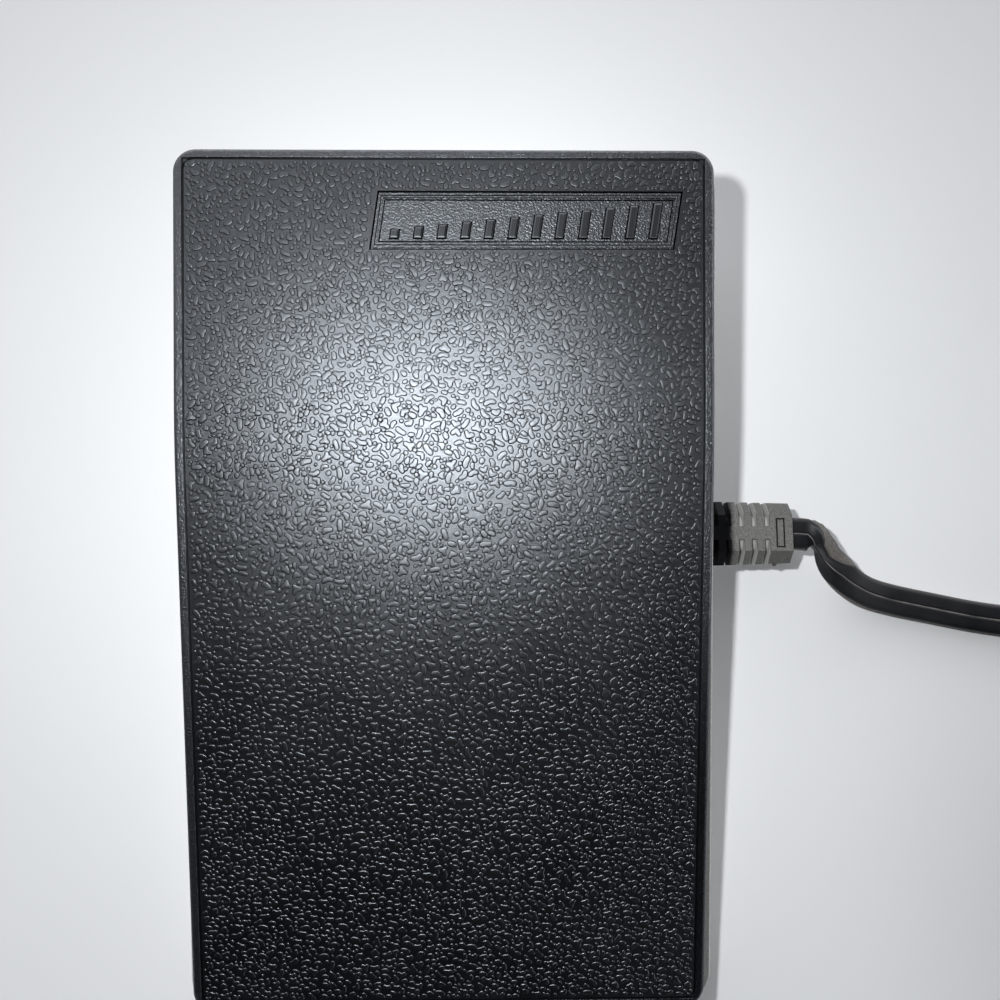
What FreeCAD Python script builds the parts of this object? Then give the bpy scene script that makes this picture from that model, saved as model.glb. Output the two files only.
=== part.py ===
import FreeCAD, Part
import math
import os

# Foot pedal of a sewing machine, in millimetres.
# Origin on the floor under the middle of the base, +Y to the toe, +X to the cord's side, +Z up.

# Treadle
treadle_width = 108.0
treadle_length = 176.0
treadle_corner = 4.5
heel_height = 21.0
lower_slope = 10.3
upper_slope = 5.8
bend_from_toe = 58.0
bend_radius = 200.0
top_wall = 2.4
skirt_wall = 2.0
skirt_overlap = 2.0
top_edge_round = 0.9
join_overlap = 0.2
border_width = 1.9
border_groove_width = 0.5
border_groove_depth = 0.35
rib_wall = 1.4
rib_depth = 3.0
rib_side_x = 40.0
rib_from_toe = 33.8
press_angle = 2.75

# Name panel, a slanted frame with a speed ramp of bars
panel_length = 60.9
panel_height = 11.6
panel_slant = 8.6
panel_right_margin = 6.4
panel_toe_margin = 8.5
panel_band = 1.25
panel_line = 0.4
panel_depth = 0.3
ramp_bars = 12
ramp_bar_width = 1.5
ramp_end_margin = 2.6
ramp_low = 1.6
ramp_high = 6.8

# Base tray
rim_gap = 1.9
base_wall = 2.2
base_corner = 6.3
floor_wall = 2.4
rim_drop = 9.7
rim_slope = 7.9
rim_round = 0.5
foot_stand = 1.5

# Rubber feet
foot_radius = 7.0
foot_sink = 1.0
foot_inset = 15.0
foot_chamfer = 0.4
foot_dimple_radius = 3.0
foot_dimple_depth = 0.6

# Hinge at the heel
hinge_inset = 8.0
hinge_z = 13.0
rod_radius = 2.0
rod_length = 88.0
rod_chamfer = 0.3
rod_end_gap = 1.0
fit_gap = 0.05
hinge_run_gap = 0.08
lug_radius = 4.2
base_lug_wall = 3.0
treadle_lug_wall = 4.0
treadle_lug_x = 30.0
lug_side_gap = 0.6
clip_wall = 0.8
clip_radius = 3.8
clip_mouth = 2.64
clip_groove_depth = 0.4
clip_from_end = 1.2

# Return springs
spring_x = 30.0
spring_y = 50.0
spring_mean_radius = 4.3
spring_wire = 1.1
spring_turns = 6.5
spring_low = 15.0
spring_high = 34.0
spring_seat_radius = 6.0
spring_peg_radius = 3.2
spring_peg_height = 3.0

# Buffers that end the travel
buffer_x = 36.0
buffer_from_toe = 14.0
buffer_radius = 5.0
buffer_wall = 3.0
buffer_round = 0.6
buffer_stop_z = 36.0
stop_gap = 0.3

# Hook that holds the treadle down at rest
hook_width = 12.0
hook_arm_wall = 2.6
hook_reach = 4.5
hook_wall = 3.4
ledge_reach = 7.0
ledge_side = 1.0
ledge_wall = 3.0
ledge_z = 22.0
hook_clearance = 1.6

# Toothed sector and pinion
gear_module = 0.8
sector_teeth = 250
pinion_teeth = 12
mesh_angle = 3.0
gear_backlash = 0.14
pressure_angle = 20.0
sector_addendum = 0.5
pinion_addendum = 0.75
root_clearance = 0.25
sector_wall = 3.0
sector_x = -12.0
sector_web_depth = 10.0
sector_lower_teeth = 3
sector_upper_teeth = 4
flange_top = 28.0
flange_wall = 3.0
flange_width = 11.0
flange_back = 25.0
sector_boss_radius = 4.0
sector_screw_back = 20.5
sector_screw_front = 6.5
sector_boss_edge = 1.0
pinion_wall = 5.0

# Potentiometer
shaft_radius = 3.0
shaft_end_out = 0.6
shaft_slot_depth = 2.0
shaft_end_gap = 0.3
pot_radius = 8.5
pot_depth = 9.0
pot_round = 0.8
pot_skirt_width = 11.0
pot_skirt_depth = 2.0
pot_skirt_below = 0.6
tag_pitch = 4.0
tag_width = 1.6
tag_wall = 0.8
tag_out = 0.6
tag_length = 3.0
bushing_radius = 4.5
bushing_length = 5.5
bushing_hole_gap = 0.1
nut_flats = 12.0
nut_wall = 2.0
bracket_x = 2.0
bracket_wall = 1.2
bracket_width = 22.0
bracket_above = 9.0
bracket_round = 4.0
bracket_foot = 21.0
bracket_window = 12.0
bracket_window_length = 2.8
bracket_window_gap = 0.2
bracket_screw_out = 15.5
bracket_screw_pitch = 13.0

# Screws
screw_radius = 1.45
screw_head_radius = 2.7
screw_head = 1.8
screw_head_round = 0.5
screw_length = 5.5
screw_hole_gap = 0.15
pilot_spare = 0.3
boss_radius = 3.4
boss_height = 4.0
slot_width = 0.7
slot_depth = 0.8
slot_length = 3.78

# Speed control board
board_width = 64.0
board_depth = 44.0
board_wall = 1.6
board_y = -42.0
board_hole_inset = 4.0
choke_place = (19.0, 9.5)
choke_radius = 7.0
choke_neck = 3.6
choke_height = 12.0
choke_flange = 1.6
choke_edge = 0.7

# Other parts of the board, placed from its middle
leg_radius = 0.35
film_place = (-19.0, 8.0)
film_length = 18.0
film_width = 8.0
film_lift = 0.3
film_height = 12.0
film_round = 0.8
film_leg_pitch = 14.0
film_leg_width = 1.2
disc_place = (-22.0, -2.0)
disc_radius = 4.5
disc_wall = 3.0
disc_round = 1.2
disc_middle_z = 6.5
disc_leg_pitch = 5.0
sink_place = (4.0, 17.0)
sink_width = 22.0
sink_height = 14.0
sink_wall = 1.5
sink_wing = 5.0
sink_hole_z = 11.0
sink_hole_gap = 0.1
triac_width = 10.0
triac_tab = 1.3
triac_body = 3.1
triac_low_z = 2.4
triac_body_top = 8.3
triac_hole_gap = 0.2
triac_leg_pitch = 2.54
triac_leg_width = 0.8
triac_leg_wall = 0.6
triac_leg_out = 2.9
triac_screw_radius = 1.5
triac_screw_head_radius = 2.5
triac_screw_head = 1.6
triac_screw_length = 4.4
triac_nut_flats = 5.4
triac_nut_wall = 1.4
resistor_places = ((-12.0, -11.0), (-4.0, -11.0), (4.0, -11.0), (-12.0, -3.0))
resistor_radius = 1.25
resistor_length = 6.4
resistor_span = 9.0
resistor_z = 1.6
resistor_round = 0.5
trimmer_place = (1.5, 1.5)
trimmer_width = 7.0
trimmer_height = 3.6
trimmer_dial_radius = 2.6
trimmer_dial = 1.0
trimmer_slot_length = 4.6
trimmer_slot_width = 0.6
fuse_place = (20.0, -13.5)
fuse_length = 20.0
fuse_radius = 2.3
fuse_z = 4.2
fuse_clip_wall = 0.6
fuse_clip_width = 4.6
fuse_clip_inset = 0.4
fuse_clip_mouth = 3.2
fuse_clip_leg_length = 2.6
fuse_clip_leg_width = 2.4
terminal_place = (22.0, -3.5)
terminal_width = 8.0
terminal_length = 10.4
terminal_height = 9.0
terminal_round = 0.5
terminal_pitch = 5.0
terminal_wire_z = 3.4
terminal_wire_hole = 1.4
terminal_screw_radius = 1.55
terminal_screw_low = 4.6
terminal_screw_top = 8.2
terminal_slot_width = 0.5
terminal_slot_depth = 0.7
lead_radius = 0.9

# Strain relief and cord
relief_y = 13.0
relief_z = 12.0
relief_end_x = 79.4
relief_wide = 15.4
relief_narrow = 14.1
relief_height = 8.0
relief_top_flat = 8.4
relief_side_height = 3.0
relief_slots = 5
relief_slot_width = 1.3
relief_slot_pitch = 3.0
relief_last_slot = 6.0
relief_spine = 3.1
relief_sleeve_wall = 0.6
relief_flange = 2.0
relief_flange_rise = 2.0
relief_wall_gap = 0.12
relief_inner_gap = 0.2
relief_slot_margin = 0.5
relief_nub_radius = 0.55
relief_nub_back = 3.2
relief_nub_out = 0.1
frame_mark_length = 2.0
frame_mark_width = 6.8
frame_mark_line = 0.3
frame_mark_depth = 0.3
frame_mark_inset = 1.9
cord_width = 7.6
cord_thickness = 3.8
cord_gap = 0.06
cord_groove = 0.35
cord_inner_x = 38.0
clamp_x = 47.0
clamp_wall = 2.4
clamp_width = 6.6
clamp_round = 2.0
clamp_boss_out = 7.6

# Loose cord, coil and plug
tube_diameter = 5.0
coil_x = 193.0
coil_top_y = -8.0
coil_outer_radius = 48.0
coil_pitch = 4.7
coil_half_turns_in = 4
coil_half_turns_out = 5
coil_layer_rise = 8.7
tie_wall = 0.7
tie_width = 8.0
tie_gap = 0.25
tie_corner = 0.6
plug_length = 32.0
plug_width = 18.0
plug_height = 12.0
plug_round = 3.0
plug_neck_length = 10.0
plug_neck_radius = 4.2
plug_neck_flare = 1.4
plug_end_x = 254.0
plug_end_y = -52.0
pin_radius = 1.5
pin_length = 14.0
pin_pitch = 9.0
pin_sink = 6.0
pin_root_radius = 2.1
pin_round = 0.6

# Route of the loose cord from the strain relief to the coil
run_points = [
    (relief_end_x, relief_y, relief_z),
    (84.9, 13.0, 12.0),
    (88.6, 10.6, 11.3),
    (91.0, 6.4, 9.8),
    (94.9, 2.2, 7.2),
    (100.4, -1.0, 4.3),
    (107.6, -3.0, 2.6),
    (117.5, -5.0, 2.55),
    (130.0, -7.6, 2.55),
    (145.0, -9.4, 2.6),
    (160.0, -9.2, 3.1),
]

# Route of the cord's end from the coil to the plug
tail_points = [
    (217.0, -4.6, 11.2),
    (228.6, -9.6, 8.0),
    (239.0, -17.0, 5.4),
    (247.8, -25.4, 4.6),
]
straight_end = 9.0

# Sizes that follow
half_width = treadle_width / 2
half_length = treadle_length / 2
base_half_width = half_width + rim_gap + base_wall
base_half_length = half_length + rim_gap + base_wall
buffer_y = half_length - buffer_from_toe
bend_y = half_length - bend_from_toe
floor_top = foot_stand + floor_wall
hinge_y = -half_length + hinge_inset

# Reach of the cutting solids beyond the pedal, sideways and upwards
far = treadle_length
tall = treadle_length / 2


def vec(x, y, z):
    return FreeCAD.Vector(x, y, z)


def tan_deg(angle):
    return math.tan(math.radians(angle))


def sin_deg(angle):
    return math.sin(math.radians(angle))


def cos_deg(angle):
    return math.cos(math.radians(angle))


def block(x_low, x_high, y_low, y_high, z_low, z_high):
    return Part.makeBox(x_high - x_low, y_high - y_low, z_high - z_low, vec(x_low, y_low, z_low))


def post(x, y, z_low, z_high, radius):
    return Part.makeCylinder(radius, z_high - z_low, vec(x, y, z_low))


def bar_x(x_low, x_high, y, z, radius):
    return Part.makeCylinder(radius, x_high - x_low, vec(x_low, y, z), vec(1, 0, 0))


def joined(solids):
    first = solids[0]
    if len(solids) == 1:
        return first
    return first.fuse(solids[1:]).removeSplitter()


def polygon_face(points):
    return Part.Face(Part.makePolygon(points + [points[0]]))


def rounded_prism(half_x, half_y, corner, z_low, z_high):
    solid = block(-half_x, half_x, -half_y, half_y, z_low, z_high)
    uprights = [edge for edge in solid.Edges if abs(edge.Vertexes[0].Z - edge.Vertexes[1].Z) > 1]
    return solid.makeFillet(corner, uprights)


# Height of the treadle's top and of the tray's rim above the floor
def treadle_top(y):
    bend_height = heel_height + (bend_y + half_length) * tan_deg(lower_slope)
    if y < bend_y:
        return heel_height + (y + half_length) * tan_deg(lower_slope)
    return bend_height + (y - bend_y) * tan_deg(upper_slope)


def rim_top(y):
    return heel_height - rim_drop + (y + half_length) * tan_deg(rim_slope)


# Space under the treadle's top surface lowered by drop
def under_treadle(drop):
    turn_half = (lower_slope - upper_slope) / 2
    middle_slope = (lower_slope + upper_slope) / 2
    tangent = bend_radius * tan_deg(turn_half)
    corner = vec(-far, bend_y, treadle_top(bend_y) - drop)
    start = corner - vec(0, tangent * cos_deg(lower_slope), tangent * sin_deg(lower_slope))
    end = corner + vec(0, tangent * cos_deg(upper_slope), tangent * sin_deg(upper_slope))
    inward = vec(0, sin_deg(middle_slope), -cos_deg(middle_slope))
    middle = corner + inward * (bend_radius / cos_deg(turn_half) - bend_radius)
    heel = vec(-far, -far, treadle_top(-far) - drop)
    toe = vec(-far, far, treadle_top(far) - drop)
    toe_low = vec(-far, far, -tall)
    heel_low = vec(-far, -far, -tall)
    edges = [
        Part.LineSegment(heel, start).toShape(),
        Part.Arc(start, middle, end).toShape(),
        Part.LineSegment(end, toe).toShape(),
        Part.LineSegment(toe, toe_low).toShape(),
        Part.LineSegment(toe_low, heel_low).toShape(),
        Part.LineSegment(heel_low, heel).toShape(),
    ]
    return Part.Face(Part.Wire(edges)).extrude(vec(2 * far, 0, 0))


# Space under the rim's plane lowered by drop
def under_rim(drop):
    points = [
        vec(-far, -far, rim_top(-far) - drop),
        vec(-far, far, rim_top(far) - drop),
        vec(-far, far, -tall),
        vec(-far, -far, -tall),
    ]
    return polygon_face(points).extrude(vec(2 * far, 0, 0))


# Slanted panel outline, drawn in by inset, as a tall prism
def panel_prism(inset):
    right = half_width - panel_right_margin
    toe = half_length - panel_toe_margin
    lean = tan_deg(panel_slant)
    side = inset / cos_deg(panel_slant)
    low = toe - panel_height + inset
    high = toe - inset

    def right_x(y):
        return right - (toe - y) * lean

    def left_x(y):
        return right_x(y) - panel_length

    points = [
        vec(left_x(low) + side, low, 0),
        vec(right_x(low) - side, low, 0),
        vec(right_x(high) - side, high, 0),
        vec(left_x(high) + side, high, 0),
    ]
    return polygon_face(points).extrude(vec(0, 0, tall))


def ramp_bar(index):
    lean = tan_deg(panel_slant)
    toe = half_length - panel_toe_margin
    low = toe - panel_height / 2 - ramp_high / 2
    height = ramp_low + (ramp_high - ramp_low) * index / (ramp_bars - 1)
    span = panel_length - 2 * panel_band - 2 * ramp_end_margin - ramp_bar_width
    left = half_width - panel_right_margin - panel_length + panel_band + ramp_end_margin
    x = left + span * index / (ramp_bars - 1) - (toe - low) * lean
    points = [
        vec(x, low, 0),
        vec(x + ramp_bar_width, low, 0),
        vec(x + ramp_bar_width + height * lean, low + height, 0),
        vec(x + height * lean, low + height, 0),
    ]
    return polygon_face(points).extrude(vec(0, 0, tall))


# Place of a point of the treadle group, seen from the hinge, at full travel
def pressed_z(y, z):
    return hinge_z + (z - hinge_z) * cos_deg(press_angle) - (y - hinge_y) * sin_deg(press_angle)


# Upper edge all round the treadle, where the top meets the skirt
def is_top_edge(edge):
    on_top = all(abs(vertex.Z - treadle_top(vertex.Y)) < 0.5 for vertex in edge.Vertexes)
    middle = edge.CenterOfMass
    at_side = max(abs(middle.x) - half_width, abs(middle.y) - half_length) > -treadle_corner
    return on_top and at_side


def make_treadle_shell():
    outer = rounded_prism(half_width, half_length, treadle_corner, 0, tall)
    outer = outer.common(under_treadle(0))
    outer = outer.makeFillet(top_edge_round, [edge for edge in outer.Edges if is_top_edge(edge)])
    outer = outer.cut(under_rim(skirt_overlap))
    inner = rounded_prism(
        half_width - skirt_wall, half_length - skirt_wall, treadle_corner - skirt_wall, -1, tall)
    shell = outer.cut(inner.common(under_treadle(top_wall)))

    groove_out = border_width + border_groove_width
    ring = rounded_prism(
        half_width - border_width, half_length - border_width, treadle_corner - border_width, 0, tall)
    ring = ring.cut(rounded_prism(
        half_width - groove_out, half_length - groove_out, treadle_corner - groove_out, -1, tall + 1))
    ring = ring.cut(under_treadle(border_groove_depth))
    panel_ring = panel_prism(0).cut(panel_prism(panel_line))
    panel_floor = panel_prism(panel_band)
    for index in range(ramp_bars):
        panel_floor = panel_floor.cut(ramp_bar(index))
    carving = Part.makeCompound([panel_ring, panel_floor]).cut(under_treadle(panel_depth))
    shell = shell.cut([ring, carving])

    adds = []
    roof = under_treadle(top_wall - join_overlap)
    rib_zone = roof.cut(under_treadle(top_wall + rib_depth))
    reach_y = half_length - skirt_wall / 2
    reach_x = half_width - skirt_wall / 2
    for side in (-1, 1):
        rib_x = side * rib_side_x
        rib = block(rib_x - rib_wall / 2, rib_x + rib_wall / 2, -reach_y, reach_y, 0, tall)
        adds.append(rib.common(rib_zone))
    for rib_y in (bend_y, half_length - rib_from_toe):
        rib = block(-reach_x, reach_x, rib_y - rib_wall / 2, rib_y + rib_wall / 2, 0, tall)
        adds.append(rib.common(rib_zone))

    for side in (-1, 1):
        middle = side * treadle_lug_x
        low_x = middle - treadle_lug_wall / 2
        high_x = middle + treadle_lug_wall / 2
        plate = block(low_x, high_x, hinge_y - lug_radius, hinge_y + lug_radius, hinge_z, tall)
        adds.append(plate.common(roof))
        adds.append(bar_x(low_x, high_x, hinge_y, hinge_z, lug_radius))
        seat = post(side * spring_x, spring_y, spring_high, tall, spring_seat_radius)
        adds.append(seat.common(roof))
        peg_low = spring_high - spring_peg_height
        adds.append(post(side * spring_x, spring_y, peg_low, spring_high, spring_peg_radius))
        stop = post(side * buffer_x, buffer_y, buffer_stop_z, tall, buffer_radius)
        adds.append(stop.common(roof))
    for boss_y in sector_screw_places():
        boss = post(sector_screw_x(), boss_y, flange_top, tall, sector_boss_radius)
        adds.append(boss.common(roof))
    adds.append(make_hook().common(roof))
    shell = joined([shell] + adds)
    shell = shell.cut(bar_x(-half_width, half_width, hinge_y, hinge_z, rod_radius + hinge_run_gap))
    pilot_top = flange_top + screw_length + pilot_spare
    for boss_y in sector_screw_places():
        pilot = post(sector_screw_x(), boss_y, flange_top - 1, pilot_top, screw_radius + fit_gap)
        shell = shell.cut(pilot)
    return shell


def make_hook():
    ledge_front = base_half_length - base_wall - ledge_reach
    arm_front = ledge_front - hook_clearance
    barb_top = ledge_z - stop_gap
    half = hook_width / 2
    arm = block(-half, half, arm_front - hook_arm_wall, arm_front, barb_top - hook_wall, tall)
    barb_front = arm_front + hook_reach
    barb = block(-half, half, arm_front - hook_arm_wall, barb_front, barb_top - hook_wall, barb_top)
    return joined([arm, barb])


def lug_centres():
    inner = treadle_lug_x - treadle_lug_wall / 2 - lug_side_gap - base_lug_wall / 2
    outer = treadle_lug_x + treadle_lug_wall / 2 + lug_side_gap + base_lug_wall / 2
    return [-outer, -inner, inner, outer]


def foot_places():
    places = []
    for side_x in (-1, 1):
        for side_y in (-1, 1):
            x = side_x * (base_half_width - foot_inset)
            y = side_y * (base_half_length - foot_inset)
            places.append((x, y))
    return places


def board_screw_places():
    places = []
    for side_x in (-1, 1):
        for side_y in (-1, 1):
            x = side_x * (board_width / 2 - board_hole_inset)
            y = board_y + side_y * (board_depth / 2 - board_hole_inset)
            places.append((x, y))
    return places


def pinion_centre():
    reach = gear_module * (sector_teeth + pinion_teeth) / 2
    return hinge_y + reach * cos_deg(mesh_angle), hinge_z + reach * sin_deg(mesh_angle)


def sector_screw_x():
    return sector_x + flange_width - sector_boss_radius - sector_boss_edge


def sector_screw_places():
    front = hinge_y + gear_module * sector_teeth / 2
    return [front - sector_screw_back, front - sector_screw_front]


def bracket_screw_places():
    y, z = pinion_centre()
    x = bracket_x + bracket_screw_out
    return [(x, y - bracket_screw_pitch / 2), (x, y + bracket_screw_pitch / 2)]


def clamp_screw_places():
    return [(clamp_x, relief_y - clamp_boss_out), (clamp_x, relief_y + clamp_boss_out)]


# Flat twin section in the YZ plane, width along Y
def cord_section(x, y, z, width, thickness):
    flat = (width - thickness) / 2
    radius = thickness / 2
    left_top = vec(x, y - flat, z + radius)
    right_top = vec(x, y + flat, z + radius)
    left_low = vec(x, y - flat, z - radius)
    right_low = vec(x, y + flat, z - radius)
    edges = [
        Part.LineSegment(left_top, right_top).toShape(),
        Part.Arc(right_top, vec(x, y + flat + radius, z), right_low).toShape(),
        Part.LineSegment(right_low, left_low).toShape(),
        Part.Arc(left_low, vec(x, y - flat - radius, z), left_top).toShape(),
    ]
    return Part.Wire(edges)


def cord_bar(x_low, x_high, extra):
    wire = cord_section(x_low, relief_y, relief_z, cord_width + 2 * extra, cord_thickness + 2 * extra)
    return Part.Face(wire).extrude(vec(x_high - x_low, 0, 0))


def relief_section(x, width, extra):
    top = relief_top_flat / 2 + extra
    side = width / 2 + extra
    high = relief_height / 2 + extra
    low = relief_side_height / 2
    points = [
        vec(x, relief_y - top, relief_z + high),
        vec(x, relief_y + top, relief_z + high),
        vec(x, relief_y + side, relief_z + low),
        vec(x, relief_y + side, relief_z - low),
        vec(x, relief_y + top, relief_z - high),
        vec(x, relief_y - top, relief_z - high),
        vec(x, relief_y - side, relief_z - low),
        vec(x, relief_y - side, relief_z + low),
    ]
    return Part.makePolygon(points + [points[0]])


# Outer edge of the tray's rim, the one outside the middle of its wall
def is_rim_edge(edge):
    on_rim = all(abs(vertex.Z - rim_top(vertex.Y)) < 0.01 for vertex in edge.Vertexes)
    past_x = abs(edge.CenterOfMass.x) - base_half_width + base_corner
    past_y = abs(edge.CenterOfMass.y) - base_half_length + base_corner
    reach = math.hypot(max(past_x, 0), max(past_y, 0))
    return on_rim and reach > base_corner - base_wall / 2


def make_base_shell():
    outer = rounded_prism(base_half_width, base_half_length, base_corner, foot_stand, tall)
    inner_corner = base_corner - base_wall
    inner = rounded_prism(
        base_half_width - base_wall, base_half_length - base_wall, inner_corner, floor_top, tall + 1)
    tray = outer.common(under_rim(0)).cut(inner)
    tray = tray.makeFillet(rim_round, [edge for edge in tray.Edges if is_rim_edge(edge)])

    adds = []
    for x in lug_centres():
        low_x = x - base_lug_wall / 2
        high_x = x + base_lug_wall / 2
        adds.append(block(low_x, high_x, hinge_y - lug_radius, hinge_y + lug_radius, floor_top - 1, hinge_z))
        adds.append(bar_x(low_x, high_x, hinge_y, hinge_z, lug_radius))
    for side in (-1, 1):
        peg_top = spring_low + spring_peg_height
        adds.append(post(side * spring_x, spring_y, floor_top - 1, spring_low, spring_seat_radius))
        adds.append(post(side * spring_x, spring_y, spring_low, peg_top, spring_peg_radius))
        adds.append(post(side * buffer_x, buffer_y, floor_top - 1, buffer_seat_z(), buffer_radius))
    for x, y in board_screw_places() + bracket_screw_places():
        adds.append(post(x, y, floor_top - 1, floor_top + boss_height, boss_radius))
    inner_front = base_half_length - base_wall
    ledge_half = hook_width / 2 + ledge_side
    adds.append(block(-ledge_half, ledge_half, inner_front - ledge_reach, inner_front + 1,
                      ledge_z, ledge_z + ledge_wall))
    saddle_top = relief_z - cord_thickness / 2 - cord_gap
    saddle_half = clamp_boss_out + boss_radius
    adds.append(block(clamp_x - clamp_width / 2, clamp_x + clamp_width / 2,
                      relief_y - saddle_half, relief_y + saddle_half, floor_top - 1, saddle_top))
    for x, y in clamp_screw_places():
        adds.append(post(x, y, floor_top - 1, clamp_seat_z(), boss_radius))
    tray = joined([tray] + adds)

    cuts = [bar_x(-base_half_width, base_half_width, hinge_y, hinge_z, rod_radius + fit_gap).common(
        block(-rod_length / 2 - rod_end_gap, rod_length / 2 + rod_end_gap, -far, far, 0, tall))]
    pilot_depth = screw_length - board_wall + pilot_spare
    for x, y in board_screw_places() + bracket_screw_places():
        top = floor_top + boss_height
        cuts.append(post(x, y, top - pilot_depth, top + 1, screw_radius + fit_gap))
    for x, y in clamp_screw_places():
        cuts.append(post(x, y, clamp_seat_z() - screw_length, clamp_seat_z() + 1, screw_radius + fit_gap))
    for x, y in foot_places():
        cuts.append(post(x, y, foot_stand - 1, foot_stand + foot_sink, foot_radius + fit_gap))
    hole_wire = relief_section(base_half_width - base_wall - 1, relief_wide, relief_wall_gap)
    cuts.append(Part.Face(hole_wire).extrude(vec(base_wall + 2, 0, 0)))
    return tray.cut(cuts)


def buffer_seat_z():
    far_edge = buffer_y + buffer_radius
    return pressed_z(far_edge, buffer_stop_z) - stop_gap - buffer_wall


def clamp_seat_z():
    return relief_z + cord_thickness / 2 + cord_gap


def make_rubber_feet():
    feet = []
    for x, y in foot_places():
        foot = post(x, y, 0, foot_stand + foot_sink, foot_radius)
        rounds = [edge for edge in foot.Edges if len(edge.Vertexes) == 1]
        low_edges = [edge for edge in rounds if abs(edge.CenterOfMass.z) < 0.01]
        foot = foot.makeChamfer(foot_chamfer, low_edges[:1])
        feet.append(foot.cut(post(x, y, -1, foot_dimple_depth, foot_dimple_radius)))
    return Part.makeCompound(feet)


def clip_places():
    offset = rod_length / 2 - clip_from_end - clip_wall
    return [(-offset - clip_wall, -offset), (offset, offset + clip_wall)]


def make_hinge_rod():
    rod = bar_x(-rod_length / 2, rod_length / 2, hinge_y, hinge_z, rod_radius)
    ends = [edge for edge in rod.Edges if len(edge.Vertexes) == 1]
    rod = rod.makeChamfer(rod_chamfer, ends)
    for low_x, high_x in clip_places():
        sleeve = bar_x(low_x - fit_gap, high_x + fit_gap, hinge_y, hinge_z, rod_radius + 1)
        sleeve = sleeve.cut(bar_x(low_x - 1, high_x + 1, hinge_y, hinge_z, rod_radius - clip_groove_depth))
        rod = rod.cut(sleeve)
    return rod


def make_hinge_clips():
    clips = []
    for low_x, high_x in clip_places():
        inner = rod_radius - clip_groove_depth + fit_gap
        clip = bar_x(low_x, high_x, hinge_y, hinge_z, clip_radius)
        clip = clip.cut(bar_x(low_x - 1, high_x + 1, hinge_y, hinge_z, inner))
        half_mouth = clip_mouth / 2
        mouth = block(low_x - 1, high_x + 1, hinge_y - half_mouth, hinge_y + half_mouth, hinge_z, tall)
        clips.append(clip.cut(mouth))
    return Part.makeCompound(clips)


def make_return_spring(side):
    height = spring_high - spring_low - spring_wire - 2 * fit_gap
    path = Part.makeHelix(height / spring_turns, height, spring_mean_radius)
    circle = Part.Wire(Part.makeCircle(spring_wire / 2, vec(spring_mean_radius, 0, 0), vec(0, 1, 0)))
    spring = Part.Wire(path.Edges).makePipeShell([circle], True, True)
    spring.translate(vec(side * spring_x, spring_y, spring_low + spring_wire / 2 + fit_gap))
    return spring


def make_buffer_pads():
    pads = []
    for side in (-1, 1):
        low = buffer_seat_z()
        pad = post(side * buffer_x, buffer_y, low, low + buffer_wall, buffer_radius)
        top_edges = [edge for edge in pad.Edges if abs(edge.CenterOfMass.z - low - buffer_wall) < 0.01]
        pads.append(pad.makeFillet(buffer_round, top_edges))
    return Part.makeCompound(pads)


def screw(x, y, seat_z, length, up=1):
    head = post(x, y, seat_z, seat_z + screw_head, screw_head_radius)
    ring = [edge for edge in head.Edges if abs(edge.CenterOfMass.z - seat_z - screw_head) < 0.01]
    head = head.makeFillet(screw_head_round, ring)
    shank = post(x, y, seat_z - length, seat_z, screw_radius)
    solid = joined([head, shank])
    top = seat_z + screw_head
    half = slot_length / 2
    narrow = slot_width / 2
    long_slot = block(x - half, x + half, y - narrow, y + narrow, top - slot_depth, top + 1)
    cross_slot = block(x - narrow, x + narrow, y - half, y + half, top - slot_depth, top + 1)
    solid = solid.cut([long_slot, cross_slot])
    if up < 0:
        solid.rotate(vec(x, y, seat_z), vec(1, 0, 0), 180)
    return solid


# Involute tooth outlines
def involute_angle(radius, base_radius):
    ratio = max(radius / base_radius, 1.0)
    roll = math.sqrt(ratio * ratio - 1)
    return roll - math.atan(roll)


def tooth_half_angle(radius, teeth):
    pitch_radius = gear_module * teeth / 2
    base_radius = pitch_radius * cos_deg(pressure_angle)
    thickness = math.pi * gear_module / 2 - gear_backlash / 2
    at_pitch = thickness / 2 / pitch_radius
    return at_pitch + involute_angle(pitch_radius, base_radius) - involute_angle(radius, base_radius)


def tooth_flank(teeth, root, tip, steps):
    flank = []
    for index in range(steps + 1):
        radius = root + (tip - root) * index / steps
        flank.append((radius, tooth_half_angle(radius, teeth)))
    return flank


def gear_points(teeth, count, first_angle, root, tip, steps=3):
    outline = []
    pitch = 2 * math.pi / teeth
    flank = tooth_flank(teeth, root, tip, steps)
    for index in range(count):
        middle = first_angle + pitch * index
        for radius, half in flank:
            outline.append((radius, middle - half))
        for radius, half in reversed(flank):
            outline.append((radius, middle + half))
    return outline


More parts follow.
